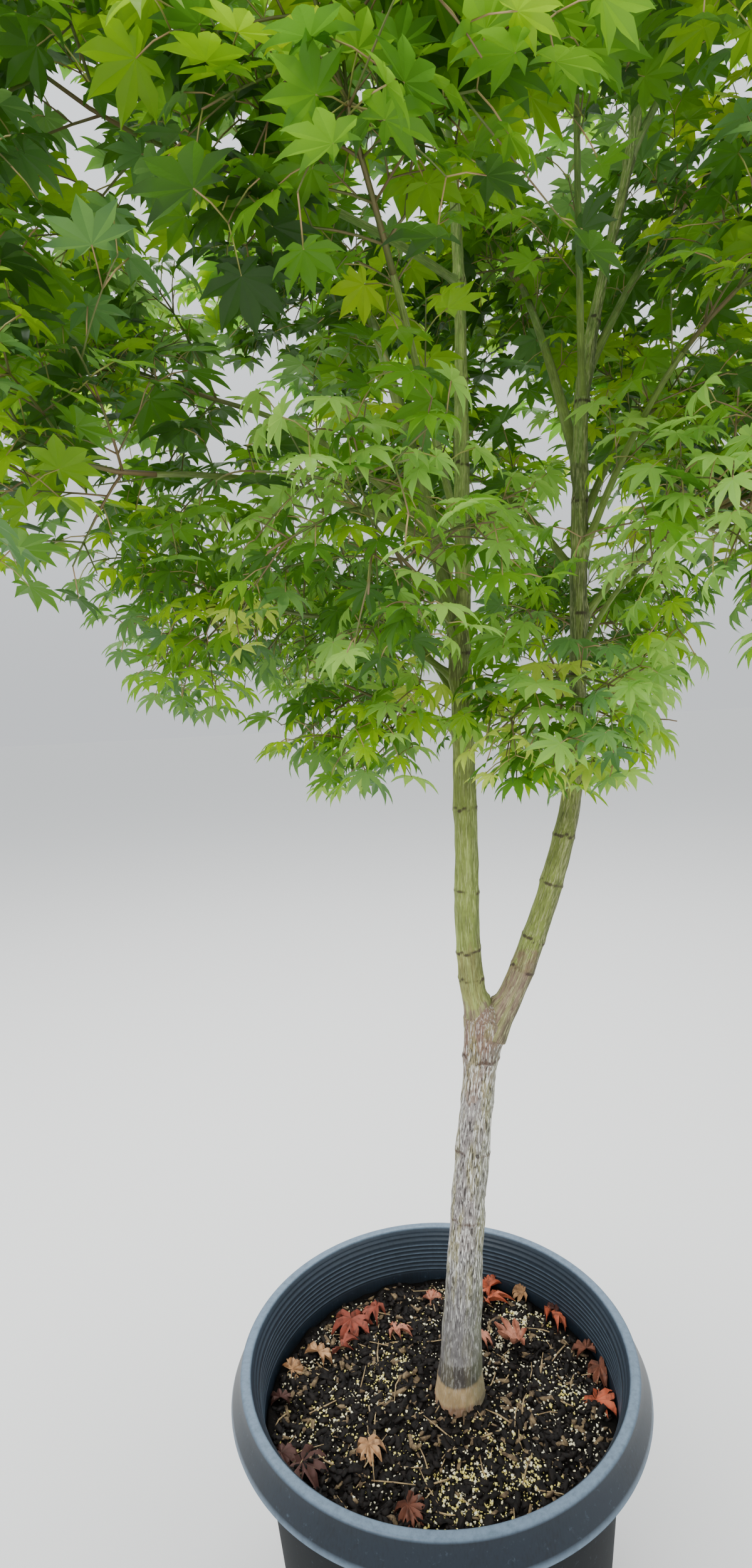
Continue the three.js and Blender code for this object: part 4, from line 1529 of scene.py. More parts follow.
    def add_bough(
        self, name: str, on: str, at: float, azimuth: float, reach: float, height: float, arch: float,
        girth: Span, half: tuple[float, float, float], cover: float = 1.0,
    ) -> Mass:
        """Lay out one bough: a curve that rises from its foot and flattens towards its mass.

        Args:
            name, on, at, azimuth, reach, height, arch, girth, half, cover: A row of `boughs`.

        Returns:
            Its mass.
        """
        carrier, heading = self.limbs[on], level_heading(azimuth)
        foot, half = carrier.path.at_height(at * MM), np.array(half) * MM
        middle = foot + heading * reach * MM
        middle[2] = height * MM
        tip = middle - heading * self.entry * half[0] - UP * self.sink * half[2]
        knee = (foot + tip) / 2 + UP * (arch * MM + self.rise * (tip[2] - foot[2]))
        girths = np.array([[0, girth[0] * MM], [1, girth[1] * MM]])
        self.limbs[name] = Limb(name, bezier(foot, knee, tip), girths, carrier)
        return Mass(name, self.limbs[name], heading, middle, half, cover)

    def add_tip(
        self, name: str, on: str, azimuth: float, shift: float, rise: float,
        half: tuple[float, float, float],
    ) -> Mass:
        """Lay out the mass on a stem's own tip.

        Args:
            name, on, azimuth, shift, rise, half: A row of `tips`.

        Returns:
            The mass.
        """
        limb, heading = self.limbs[on], level_heading(azimuth)
        middle = limb.path.points[-1] + heading * shift * MM + UP * rise * MM
        return Mass(name, limb, heading, middle, np.array(half) * MM)

    def build(self) -> None:
        """Make the pieces of the trunk, the stems and the boughs."""
        rng = np.random.default_rng(self.seed)
        boughs = [limb for name, limb in self.limbs.items() if name not in SKINS]
        trunk, left, right = (self.limbs[name] for name in ("trunk", "left_stem", "right_stem"))
        meets = (
            (trunk, [(left, self.foot_swell), (right, self.foot_swell)]),
            (left, [(trunk, self.foot_swell), (right, self.fork_swell)]),
            (right, [(trunk, self.foot_swell), (left, self.fork_swell)]),
        )
        for limb, others in meets:
            skin = SKINS[limb.name]
            tube = skin.surface(limb, rng)
            carried = [(bough, self.bough_swell) for bough in boughs if bough.carrier is limb]
            merge_swell(tube, limb, others + carried)
            add_piece(limb.name + "_bark", tube, skin.finish, skin.slot, [limb.name])
        skin = SKINS["bough"]
        tubes = [skin.surface(bough, rng) for bough in boughs]
        for bough, tube in zip(boughs, tubes):
            merge_swell(tube, bough, [(bough.carrier, self.bough_swell)])
        nodes = [bough.name + "_bough" for bough in boughs]
        add_piece("boughs_bark", Surface.joined(tubes), skin.finish, skin.slot, nodes)


# Foliage


@dataclass
class Spaces:
    """The masses' own spaces: each its ellipsoid, cut by the planes that part it from the others."""

    masses: list[Mass]
    margin: float = 0.002
    stride: float = 0.006
    most: int = 100  # strides
    middles: Array = field(init=False)
    weights: Array = field(init=False)

    def __post_init__(self) -> None:
        """Keep the middles and the weights."""
        self.middles = np.array([mass.middle for mass in self.masses])
        self.weights = np.array([np.prod(mass.half) ** (2 / 3) for mass in self.masses])

    def depth(self, places: Array, index: int, slack: Array | float = 0.0) -> Array:
        """How far places lie inside a mass's space, below 0 outside.

        It is the least of (1 - shell) * shortest half size, where shell is the root of the sum of the
        squared shares of the half sizes, and for each other mass (theirs - own) / (2 * distance of the
        middles) - margin, where theirs and own are squared distances to the middles less the weights.

        Args:
            places: (n, 3) places.
            index: The mass.
            slack: How much larger the ellipsoid is taken, as a share. The planes move by a fifth of it.

        Returns:
            (n,) depths.
        """
        mass = self.masses[index]
        away = places - mass.middle
        axes = np.stack([mass.heading, np.cross(UP, mass.heading), UP])
        shell = np.linalg.norm(away @ axes.T / mass.half, axis=1)
        square = ((places[:, None] - self.middles) ** 2).sum(axis=2) - self.weights
        others = np.arange(len(self.masses)) != index
        apart = np.linalg.norm(self.middles[others] - mass.middle, axis=1)
        planes = (square[:, others] - square[:, index, None]) / (2 * apart) - self.margin
        return np.minimum((1 + slack - shell) * mass.half.min(), planes.min(axis=1) + slack / 5)

    def reach(self, start: Array, direction: Array, index: int, slack: float = 0.0) -> float:
        """How far one can go from a place before leaving a mass's space, in whole strides.

        Args:
            start: The place.
            direction: The unit direction.
            index: The mass.
            slack: As in `depth`.

        Returns:
            The length.
        """
        gone = self.stride * np.arange(1, self.most + 1)
        outside = self.depth(start + gone[:, None] * direction, index, slack) < 0
        return self.stride * (outside.argmax() if outside.any() else self.most)


def side_of(along: Array, roll: float) -> Array:
    """Find a direction square to another.

    Args:
        along: The other, a unit vector.
        roll: How far it is turned round that from the level one.

    Returns:
        A unit vector.
    """
    level = np.cross(along, UP)
    if np.linalg.norm(level) < 0.2:
        level = np.array([1.0, 0.0, 0.0]) - along * along[0]
    return turned_about(unit(level), along, roll)


def forked(along: Array, roll: float, fork: float) -> Array:
    """The unit vector at the angle `fork` to `along`, on the side that `roll` gives."""
    return along * math.cos(fork) + side_of(along, roll) * math.sin(fork)


@dataclass
class Shoot:
    """A stretch of young wood.

    Attributes:
        path: Its middle line.
        radii: Its radii at foot and tip.
        mass: The number of its mass.
        bare: The share of its length, from its foot, that carries no leaves.
        roll: The turn of its last pair of leaves.
        slack: How far out of its mass's space its leaves may stand, as a share of the mass's size.
    """

    path: Path
    radii: Span
    mass: int
    bare: float
    roll: float
    slack: float

    def sprout(self, gap: float, rng: Draws, missing: float = 0.08) -> list[tuple[Array, Array]]:
        """Lay out the leaf nodes from the tip backwards, each with two leaves a quarter turn on.

        Args:
            gap: The distance between nodes, which varies by a quarter or so.
            rng: The source of the gaps, the missing leaves and the angles.
            missing: The share of leaves that are missing.

        Returns:
            For each leaf its node and the direction of its stalk.
        """
        leaves, back, node = [], 0.001, 0
        while back < self.path.length * (1 - self.bare):
            share = 1 - back / self.path.length
            place, along = self.path.at(share), self.path.heading(share)
            for hand in HANDS:
                if rng.uniform() < missing:
                    continue
                roll = self.roll + node * TURN / 4 + hand + rng.normal(0, 0.25)
                spread = math.radians(rng.uniform(34, 62))
                leaves.append((place, unit(forked(along, roll, spread) + UP * 0.15)))
            back += gap * rng.uniform(0.75, 1.3)
            node += 1
        return leaves


@dataclass
class LeafShape:
    """A leaf with seven lobes, in the plane of its own x and y, with its stalk at 0 and its tip at y = 1.

    A lobe has an angle from the tip in degrees, a length and a half width, for the tip and one side. The
    heel is the last point beside the stalk, by angle and distance. The outline holds shares of a lobe's
    length and of its half width, and `lift` is how far the edge stands above the ribs.
    """

    lobes: tuple[tuple[float, float, float], ...]
    notches: tuple[float, ...]
    lift: float
    heel: Span = (168, 0.09)
    outline: tuple[Span, ...] = ((0.58, 1.0), (0.76, 0.56), (0.89, 0.20))
    points: Array = field(init=False)
    rise: Array = field(init=False)
    quads: Array = field(init=False)

    def __post_init__(self) -> None:
        """Lay out the points and the faces: three faces on each side of a lobe's rib.

        The two sides of a rib have points of their own, so that the leaf shows a crease along it, as a
        vein does. A point rises by lift * (1 - low), where low is 1 on a rib, 0.4 in a notch and half of
        (1 - its share of the half width) on an edge.
        """
        sides = [(-angle, length, width) for angle, length, width in reversed(self.lobes[1:])]
        table = np.array([*sides, *self.lobes])
        angles = np.radians(table[:, 0])
        heel = math.radians(self.heel[0])
        gaps = np.concatenate([[-heel], (angles[:-1] + angles[1:]) / 2, [heel]])
        depths = (self.heel[1], *reversed(self.notches), *self.notches, self.heel[1])
        points = [depth * np.array([math.sin(gap), math.cos(gap)]) for gap, depth in zip(gaps, depths)]
        low, quads = [0.4] * len(points), []
        for lobe, (angle, length, width) in enumerate(zip(angles, table[:, 1], table[:, 2])):
            ahead = np.array([math.sin(angle), math.cos(angle)])
            across = np.array([ahead[1], -ahead[0]]) * width
            for hand, gap in ((-1, lobe), (1, lobe + 1)):
                rib, edge = [], [gap]
                for share in (0.0, self.outline[0][0], self.outline[1][0], 1.0):
                    rib.append(len(points))
                    points.append(ahead * length * share)
                    low.append(1.0)
                for share, wide in self.outline:
                    edge.append(len(points))
                    points.append(ahead * length * share + across * hand * wide)
                    low.append(0.5 * (1 - wide))
                quads += [(rib[k], edge[k], edge[k + 1], rib[k + 1]) for k in (0, 1)]
                quads.append((rib[2], edge[2], edge[3], rib[3]))
        self.points = np.array(points)
        self.rise = self.lift * (1 - np.array(low))
        self.quads = np.array(quads)
        corners = self.points[self.quads]
        after = np.roll(corners, -1, axis=1)
        area = (corners[..., 0] * after[..., 1] - corners[..., 1] * after[..., 0]).sum(axis=1)
        self.quads[area < 0] = self.quads[area < 0][:, ::-1]

    def blades(
        self, root: Array, along: Array, face: Array, size: Array, cup: Array, twist: Array,
    ) -> Surface:
        """Place many leaves.

        Each point's distance r from the stalk is bent into an arc: it goes out by sin(cup * r) / cup and
        down by (1 - cos(cup * r)) / cup. Its fold rises by `lift` at the edge, and twist * x * y is added.

        Args:
            root: (n, 3) ends of the stalks.
            along: (n, 3) unit directions of the middle lobe.
            face: (n, 3) unit normals of the upper side.
            size: (n,) lengths.
            cup: (n,) curvatures for a leaf of length 1.
            twist: (n,) twists.

        Returns:
            The surface of all leaves.
        """
        reach = np.linalg.norm(self.points, axis=1)
        bend = cup[:, None] * reach
        level = np.sinc(bend / math.pi)
        drop = reach * np.sin(bend / 2) * np.sinc(bend / TURN)
        x, y = self.points[:, 0] * level, self.points[:, 1] * level
        height = self.rise - drop + twist[:, None] * x * y
        axes = zip((x, y, height), (np.cross(along, face), along, face))
        large = size[:, None, None]
        points = root[:, None] + sum(large * part[..., None] * axis[:, None] for part, axis in axes)
        faces = self.quads + len(self.points) * np.arange(len(root))[:, None, None]
        return Surface(points.reshape(-1, 3), [faces.reshape(-1, 4)])


BROAD = LeafShape(
    lobes=((0, 1.0, 0.180), (40, 0.97, 0.172), (81, 0.83, 0.150), (127, 0.47, 0.100)),
    notches=(0.48, 0.45, 0.27), lift=0.07,
)
SLENDER = LeafShape(
    lobes=((0, 1.0, 0.135), (39, 0.95, 0.130), (78, 0.78, 0.115), (122, 0.44, 0.075)),
    notches=(0.35, 0.32, 0.20), lift=0.06,
)
SHRUNKEN = LeafShape(
    lobes=((0, 1.0, 0.130), (34, 0.95, 0.130), (70, 0.80, 0.120), (115, 0.50, 0.090)),
    notches=(0.42, 0.38, 0.24), lift=0.20,
)


@dataclass(frozen=True)
class Habit:
    """How a storey holds its shoots and its leaves.

    The lift is how strongly a side shoot turns up, and the sag how far its end turns down, least and most.
    The droop of a blade, where 1 is 45 degrees, and the cup of its lobes are each a mean and a spread. The
    length is a blade's, the gap is between pairs of leaves, and a stalk has a least and a most length.
    """

    shape: LeafShape
    lift: float
    sag: Span
    droop: Span
    cup: Span
    length: float
    gap: float
    stalk: Span


HABITS = {
    Storey.LOW: Habit(
        SLENDER, lift=0.15, sag=(0.1, 0.6), droop=(0.38, 0.28), cup=(0.9, 0.35),
        length=0.040, gap=0.030, stalk=(0.020, 0.036),
    ),
    Storey.MIDDLE: Habit(
        BROAD, lift=0.3, sag=(-0.1, 0.5), droop=(0.15, 0.3), cup=(0.5, 0.3),
        length=0.044, gap=0.035, stalk=(0.026, 0.044),
    ),
    Storey.HIGH: Habit(
        BROAD, lift=0.5, sag=(-0.3, 0.3), droop=(-0.18, 0.3), cup=(0.35, 0.3),
        length=0.050, gap=0.042, stalk=(0.032, 0.052),
    ),
}


class Tint(Enum):
    """The leaves' greens, some of them painted sunlight, shade and sky sheen, from the sunlit front to the
    shaded inside: blade, and light through it.
    """

    # painted sunlight
    PAINTED_SUNLIT = ("#8eae14", "#c8e81c")
    # painted top light
    BRIGHT = ("#70980e", "#b0dc1c")
    FRESH = ("#558420", "#98cc2e")
    LIGHT = ("#84b650", "#b8e064")
    # painted shade
    PAINTED_SHADE = ("#385a1e", "#70aa2e")
    # deeper painted shade
    DARK = ("#2a451a", "#5a8a26")
    # a painted sky sheen on shaded leaves
    BLUE = ("#567f4c", "#8cb858")
    PALE = ("#b8cc4c", "#dcf064")


# A tint's weight in a storey is the sum of these numbers, each times how far a shoot stands at that place.
# The painted sunlit and top-lit tints weigh most at the front, the painted shade tints at the back and
# inside, and the painted sky sheen on the left and back.
DEALING = {
    Storey.LOW: {
        Tint.PALE: {"fading": 7, "front": 0.02},
        Tint.LIGHT: {"always": 0.2, "clear": 1.4},
        Tint.BRIGHT: {"always": 0.15},
        Tint.FRESH: {"always": 0.45},
        Tint.BLUE: {"always": 0.2, "left": 0.4},
        Tint.PAINTED_SHADE: {"always": 0.2, "back": 0.5, "inner": 0.4},
    },
    Storey.MIDDLE: {
        Tint.PAINTED_SUNLIT: {"sunny": 0.2, "right": 0.3},
        Tint.BRIGHT: {"front": 0.4, "always": 0.2},
        Tint.FRESH: {"always": 0.5},
        Tint.LIGHT: {"always": 0.04},
        Tint.PAINTED_SHADE: {"always": 0.35, "back": 0.35},
        Tint.BLUE: {"always": 0.1, "left": 0.25},
        Tint.DARK: {"always": 0.1, "inner": 0.5},
    },
    Storey.HIGH: {
        Tint.PAINTED_SUNLIT: {"sunny": 1.6, "right": 0.3},
        Tint.BRIGHT: {"front": 0.8, "always": 0.15},
        Tint.FRESH: {"always": 0.35, "right": 0.3},
        Tint.BLUE: {"always": 0.02, "back": 0.12},
        Tint.PAINTED_SHADE: {"always": 0.4, "back": 0.4},
        Tint.DARK: {"always": 0.12, "left": 0.3, "inner": 0.5},
    },
}


def choose_tint(place: Array, storey: Storey, inner: float, draw: float) -> Tint:
    """Deal a shoot its tint by where it stands: a weight for each tint, and one draw between them.

    Front, back, left and right grow from 0 to 1 across the crown. Sunny is front * a hump across its
    middle, clear is front * (1 - left), and fading is front * exp(-squares) about a place low on the right.

    Args:
        place: Where the shoot is.
        storey: Its storey.
        inner: How deep it lies in its mass, from 0 to 1.
        draw: A number from 0 to 1.

    Returns:
        The tint.
    """
    x, y, z = place
    front, back, middle, left, right = np.clip(
        (-y / 0.3, y / 0.25, 1 - abs(x + 0.05) / 0.3, -x / 0.4, (x - 0.2) / 0.4), 0, 1
    )
    fading = math.exp(-(((x - 0.12) / 0.09) ** 2) - ((z - 1.33) / 0.07) ** 2)
    at = {
        "always": 1.0, "front": front, "back": back, "left": left, "right": right, "inner": inner,
        "sunny": front * middle, "clear": front * (1 - left), "fading": front * fading,
    }
    dealt = DEALING[storey]
    bounds = np.cumsum([sum(weight * at[where] for where, weight in row.items()) for row in dealt.values()])
    return list(dealt)[int(np.searchsorted(bounds, draw * bounds[-1]))]


@dataclass(frozen=True)
class Pairs:
    """How short side shoots stand along what bears them: in pairs, each a quarter turn on.

    They begin at the share `start` of its length and stand `gap` apart, each at a share within `spread` of
    its own stretch. They may stand out of the mass's space by the share `slack` of its size.
    """

    start: float
    gap: float
    spread: Span
    chance: float
    least: int
    slack: float


TWIG_PAIRS = Pairs(start=0.0, gap=0.042, spread=(0.35, 0.75), chance=0.8, least=2, slack=0.20)
BOUGH_PAIRS = Pairs(start=0.42, gap=0.042, spread=(0.2, 0.8), chance=0.7, least=0, slack=0.75)


@dataclass
class Growth:
    """The young wood of one mass, grown by the solids' rule and carried on to short side shoots.

    The stem goes on from the limb's end, past the mass's middle by the shares `beyond` and `lift` of its
    half length and height. Twigs stand on it in pairs, with shorter fillers between. The spray is the
    solids' leaf, which a twig's drooping end, `onward` long, and its leaves now fill. Forks are in
    degrees, a run is a least and a most length, and radii are at foot and tip.
    """

    timber: Timber
    spaces: Spaces
    index: int
    beyond: float = 0.4
    lift: float = 0.25
    bend: float = 0.45
    short: float = 0.110
    least: float = 0.040
    stem_tip: float = 0.0016
    twig_shares: tuple[float, ...] = (0.3, 0.62, 0.9)
    filler_shares: tuple[float, ...] = (0.14, 0.46, 0.77)
    twig_fork: float = 58.0
    twig_lift: float = 0.12
    twig_run: Span = (0.026, 0.170)
    filler_run: Span = (0.06, 0.15)
    twig_radii: Span = (0.0017, 0.0010)
    twig_clear: float = 0.002
    spray: float = 0.172
    droop: float = 0.55
    onward: float = 0.085
    side_run: Span = (0.035, 0.125)
    side_least: float = 0.015
    side_short: float = 0.05
    side_radii: Span = (0.0011, 0.0007)
    first_seed: int = 1000
    seed_step: int = 37
    fine_seed: int = 500
    mass: Mass = field(init=False)
    fine: Draws = field(init=False)
    shoots: list[Shoot] = field(init=False, default_factory=list)

    def __post_init__(self) -> None:
        """Take the mass, and the source of what is finer than the solids' twigs."""
        self.mass = self.timber.masses[self.index]
        self.fine = np.random.default_rng(self.fine_seed + self.index)

    def stem(self) -> Path:
        """Lay out the stem that goes on from the limb's end and bends towards the far side of the mass.

        Returns:
            Its middle line.
        """
        mass = self.mass
        forward = mass.limb.path.heading(1.0)
        root = mass.limb.path.points[-1] + forward * 0.0003
        target = mass.middle + mass.heading * self.beyond * mass.half[0] + UP * self.lift * mass.half[2]
        away = target - root
        wanted = float(np.linalg.norm(away))
        away = away / wanted
        room = self.spaces.reach(root, away, self.index)
        length = max(self.least, min(wanted, room - self.short))
        return bezier(root - forward * 0.006, root + forward * self.bend * length, root + away * length)

    def grow(self) -> list[Shoot]:
        """Grow the stem, its twigs in opposite pairs, shorter pairs between, and side shoots.

        The first twigs take the same draws as the solids' twigs, which made six more for each.

        Returns:
            The mass's shoots.
        """
        dice = Dice(self.first_seed + self.seed_step * self.index)
        stem, limb = self.stem(), self.mass.limb
        radii = (limb.radius_at(1.0), self.stem_tip)
        self.shoots.append(Shoot(stem, radii, self.index, 0.75, 0.0, TWIG_PAIRS.slack))
        for node, share in enumerate(self.twig_shares):
            for hand in HANDS:
                roll = node * TURN / 4 + dice.wobble(0.9) + hand
                fork = math.radians(self.twig_fork + dice.wobble(16))
                for _ in range(6):
                    dice()
                self.add_twig(stem, share, roll, fork, self.twig_run[1])
        for node, share in enumerate(self.filler_shares):
            for hand in HANDS:
                roll = (node + 0.5) * TURN / 4 + self.fine.uniform(-0.5, 0.5) + hand
                fork = math.radians(self.fine.uniform(50, 68))
                self.add_twig(stem, share, roll, fork, self.fine.uniform(*self.filler_run))
        for twig in self.shoots[1:]:
            self.add_side_shoots(twig.path, twig.roll, TWIG_PAIRS)
        if limb.name == self.mass.name:
            self.add_side_shoots(limb.path, 0.0, BOUGH_PAIRS)
        return self.shoots

    def add_twig(self, stem: Path, share: float, roll: float, fork: float, most: float) -> None:
        """Add a twig that runs out straight and then droops, where there is room for it.

        Args:
            stem: The line that it stands on.
            share: Where on it, as a share of its length.
            roll: The side that it stands on.
            fork: The angle between them.
            most: The most length of its straight part.
        """
        base = stem.at(share)
        direction = unit(forked(stem.heading(share), roll, fork) + UP * self.twig_lift)
        room = self.spaces.reach(base, direction, self.index)
        if room < self.spray * 0.6:
            return
        run = max(self.twig_run[0], min(most, room - self.spray * 0.85))
        tip = base + direction * run
        end = tip + unit(direction - UP * self.droop) * self.onward
        path = bezier(base, tip, end, 40)
        others = [limb for limb in self.timber.limbs.values() if limb is not self.mass.limb]
        if min(limb.clearance(path.points[::8], 60).min() for limb in others) < self.twig_clear:
            return
        self.add_shoot(path, self.twig_radii, 0.35, TWIG_PAIRS.slack)

    def add_side_shoots(self, bearer: Path, roll: float, pairs: Pairs) -> None:
        """Add short side shoots in pairs, each a quarter turn on, most of them with both hands.

        Args:
            bearer: The line that they stand on.
            roll: The side that the first pair stands on.
            pairs: How they stand.
        """
        stretch = 1 - pairs.start
        count = max(pairs.least, int(bearer.length * stretch / pairs.gap))
        for node in range(count):
            share = pairs.start + stretch * (node + self.fine.uniform(*pairs.spread)) / count
            for hand in HANDS:
                turn = roll + node * TURN / 4 + hand + self.fine.uniform(-0.4, 0.4)
                if self.fine.uniform() < pairs.chance:
                    self.add_side_shoot(bearer, share, turn, pairs.slack)

    def add_side_shoot(self, bearer: Path, share: float, roll: float, slack: float) -> None:
        """Add one short side shoot, which bends up or down as its storey does.

        Args:
            bearer: The line that it stands on.
            share: Where on it, as a share of its length.
            roll: The side that it stands on.
            slack: How far out of the mass's space it may stand.
        """
        habit = HABITS[self.mass.storey]
        base, fork = bearer.at(share), math.radians(self.fine.uniform(42, 62))
        direction = unit(forked(bearer.heading(share), roll, fork) + UP * habit.lift)
        room = self.spaces.reach(base, direction, self.index, slack)
        length = min(self.fine.uniform(*self.side_run), room - self.side_short)
        if length < self.side_least:
            return
        knee = base + direction * length * 0.6
        end = knee + unit(direction - UP * self.fine.uniform(*habit.sag)) * length * 0.4
        self.add_shoot(bezier(base, knee, end, 16), self.side_radii, 0.15, slack)

    def add_shoot(self, path: Path, radii: Span, bare: float, slack: float) -> None:
        """Keep a shoot, with its last pair of leaves turned at random."""
        self.shoots.append(Shoot(path, radii, self.index, bare, self.fine.uniform(0, TURN), slack))


@dataclass
class Crown:
    """The foliage of all masses: their young wood, and leaves on stalks.

    The heart is how far out a leaf's middle lies, and the spacing is the least distance between two of
    them, both as shares of the leaf's length. The corners `low` and `high` are those of the solids' box.
    """

    timber: Timber
    spacing: float = 0.45
    heart: float = 0.45
    clear: float = 0.006
    sizes: tuple[float, ...] = (1.0, 0.86, 0.72)
    lobes: tuple[Span, ...] = ((1.0, 0.0), (0.5, 0.7), (0.5, -0.7))
    low: tuple[float, float, float] = (-0.612, -0.588, 1.25)
    high: tuple[float, float, float] = (0.886, 0.585, 3.066)
    inside: float = 0.12
    stalk_radius: float = 0.0008
    seed: int = 499
    spaces: Spaces = field(init=False)

    def __post_init__(self) -> None:
        """Part the masses' spaces from each other."""
        self.spaces = Spaces(self.timber.masses)

    def build(self) -> None:
        """Make the pieces: twigs, leaf stalks, and the leaves of each storey and tint."""
        rng = np.random.default_rng(self.seed)
        masses, palette, rows = self.timber.masses, list(Tint), []
        growths = [Growth(self.timber, self.spaces, index) for index in range(len(masses))]
        shoots = [shoot for growth in growths for shoot in growth.grow()]
        self.build_twigs(shoots)
        for shoot in shoots:
            storey = masses[shoot.mass].storey
            place = shoot.path.at(0.8)
            inner = float(np.clip(self.spaces.depth(place[None], shoot.mass)[0] / self.inside, 0, 1))
            tint = palette.index(choose_tint(place, storey, inner, rng.uniform()))
            for node, out in shoot.sprout(HABITS[storey].gap, rng):
                rows.append((*node, *out, shoot.mass, tint, shoot.slack))
        leaves = self.placed(np.array(rows), rng)
        kept = self.thinned(leaves, rng)
        LOG.info("%d shoots, %d leaves of %d", len(shoots), kept.sum(), len(kept))
        self.build_leaves({key: values[kept] for key, values in leaves.items()})

    def placed(self, table: Array, rng: Draws) -> dict[str, Array]:
        """Give each leaf its stalk's end, its direction, its face, its size and its bend.

        Args:
            table: (n, 9) node, direction of the stalk, mass, tint and slack.
            rng: The source of all that varies.

        Returns:
            The leaves' arrays by name.
        """
        count, node, out = len(table), table[:, :3], table[:, 3:6]
        mass = table[:, 6].astype(int)
        storey = np.array([list(Storey).index(one.storey) for one in self.timber.masses])[mass]
        keys = ("droop", "cup", "stalk", "length")
        habits = [HABITS[one] for one in Storey]
        droop, cup, stalk, size = (np.array([getattr(one, key) for one in habits])[storey] for key in keys)
        length = (stalk[:, 0] + (stalk[:, 1] - stalk[:, 0]) * rng.uniform(0, 1, count))[:, None]
        root = node + out * length - UP * 0.1 * length
        level = out * (1, 1, 0)
        weak = np.linalg.norm(level, axis=1) < 0.25
        turn = rng.uniform(0, TURN, count)
        level[weak] = np.column_stack([headings(turn), np.zeros(count)])[weak]
        along = unit(unit(level) - UP * rng.normal(droop[:, 0], droop[:, 1])[:, None])
        face = turned_about(unit(UP - along * along[:, 2:]), along, rng.normal(0, 0.34, count))
        return {
            "node": node, "root": root, "along": along, "face": face,
            "size": size * np.clip(rng.normal(1.0, 0.14, count), 0.66, 1.3),
            "cup": rng.normal(cup[:, 0], cup[:, 1]), "twist": rng.normal(0, 0.16, count),
            "mass": mass, "storey": storey, "tint": table[:, 7].astype(int), "slack": table[:, 8],
        }

    def thinned(self, leaves: dict[str, Array], rng: Draws) -> Array:
        """Choose the leaves that stay, and shrink some to fit.

        A leaf stays if its tip and its side lobes lie in its mass's space at one of the sizes, if its
        middle is clear of every limb, and if no leaf that stays is closer than the spacing. Of a mass
        with a low cover, some leaves are left out first.

        Args:
            leaves: The leaves, whose sizes are changed in place.
            rng: The source of the order in which they are tried.

        Returns:
            A mask of those that stay.
        """
        masses = self.timber.masses
        side = np.cross(leaves["along"], leaves["face"])
        fits = np.zeros(len(side), dtype=bool)
        wanted = rng.uniform(0, 1, len(side)) < np.array([mass.cover for mass in masses])[leaves["mass"]]
        for share in self.sizes:
            size = (leaves["size"] * share)[:, None]
            inside = np.ones(len(side), dtype=bool)
            for ahead, across in self.lobes:
                lobe = leaves["root"] + size * (ahead * leaves["along"] + across * side)
                inside &= ((lobe > self.low) & (lobe < self.high)).all(axis=1)
                for index in range(len(masses)):
                    own = np.flatnonzero(leaves["mass"] == index)
                    inside[own] &= self.spaces.depth(lobe[own], index, leaves["slack"][own]) > 0
            now = inside & ~fits
            leaves["size"][now] *= share
            fits |= now
        fits &= wanted
        middles = leaves["root"] + leaves["along"] * leaves["size"][:, None] * self.heart
        for limb in self.timber.limbs.values():
            fits &= limb.clearance(middles, 50) > self.clear
        tree = kdtree.KDTree(len(middles))
        for number, middle in enumerate(middles):
            tree.insert(middle, number)
        tree.balance()
        kept = np.zeros(len(middles), dtype=bool)
        for number in rng.permutation(np.flatnonzero(fits)):
            close = tree.find_range(middles[number], self.spacing * leaves["size"][number])
            kept[number] = not any(kept[other] for _, other, _ in close)
        return kept

    def build_twigs(self, shoots: list[Shoot]) -> None:
        """Make one piece of all the young wood.

        Args:
            shoots: All shoots.
        """
        share = np.linspace(0, 1, 7)
        lines = np.stack([shoot.path.at(share) for shoot in shoots])
        foot, tip = np.array([shoot.radii for shoot in shoots]).T
        radii = foot[:, None] + (tip - foot)[:, None] * share
        skin = GreenWood("maple_twig_skin", "#5f6c34", "#7a6446", patch_mm=55.0)
        nodes = [mass.name + "_leaves" for mass in self.timber.masses]
        add_piece("twigs", swept(lines, radii[..., None], 4), skin, "bough_bark", nodes)

    def build_leaves(self, leaves: dict[str, Array]) -> None:
        """Make the stalks' piece, and a piece of leaves for each storey and tint.

        Args:
            leaves: The leaves that stay.
        """
        node, root = leaves["node"], leaves["root"]
        knee = (node + root) / 2 + UP * 0.0025
        stalks = swept(np.stack([node, knee, root], axis=1), np.full((len(node), 3, 1), self.stalk_radius), 3)
        skin = GreenWood("maple_leaf_stalk", "#98994e", "#ac8c64", patch_mm=80.0)
        add_piece("leaf_stalks", stalks, skin, "bough_bark", [])
        keys = ("root", "along", "face", "size", "cup", "twist")
        for number, storey in enumerate(Storey):
            nodes = [mass.name + "_leaves" for mass in self.timber.masses if mass.storey is storey]
            for code, tint in enumerate(Tint):
                chosen = (leaves["storey"] == number) & (leaves["tint"] == code)
                if not chosen.any():
                    continue
                surface = HABITS[storey].shape.blades(*(leaves[key][chosen] for key in keys))
                finish = LeafTissue("maple_leaf_" + tint.name.lower(), *tint.value)
                add_piece(f"{storey.value}_{tint.name.lower()}", surface, finish, storey.value, nodes)


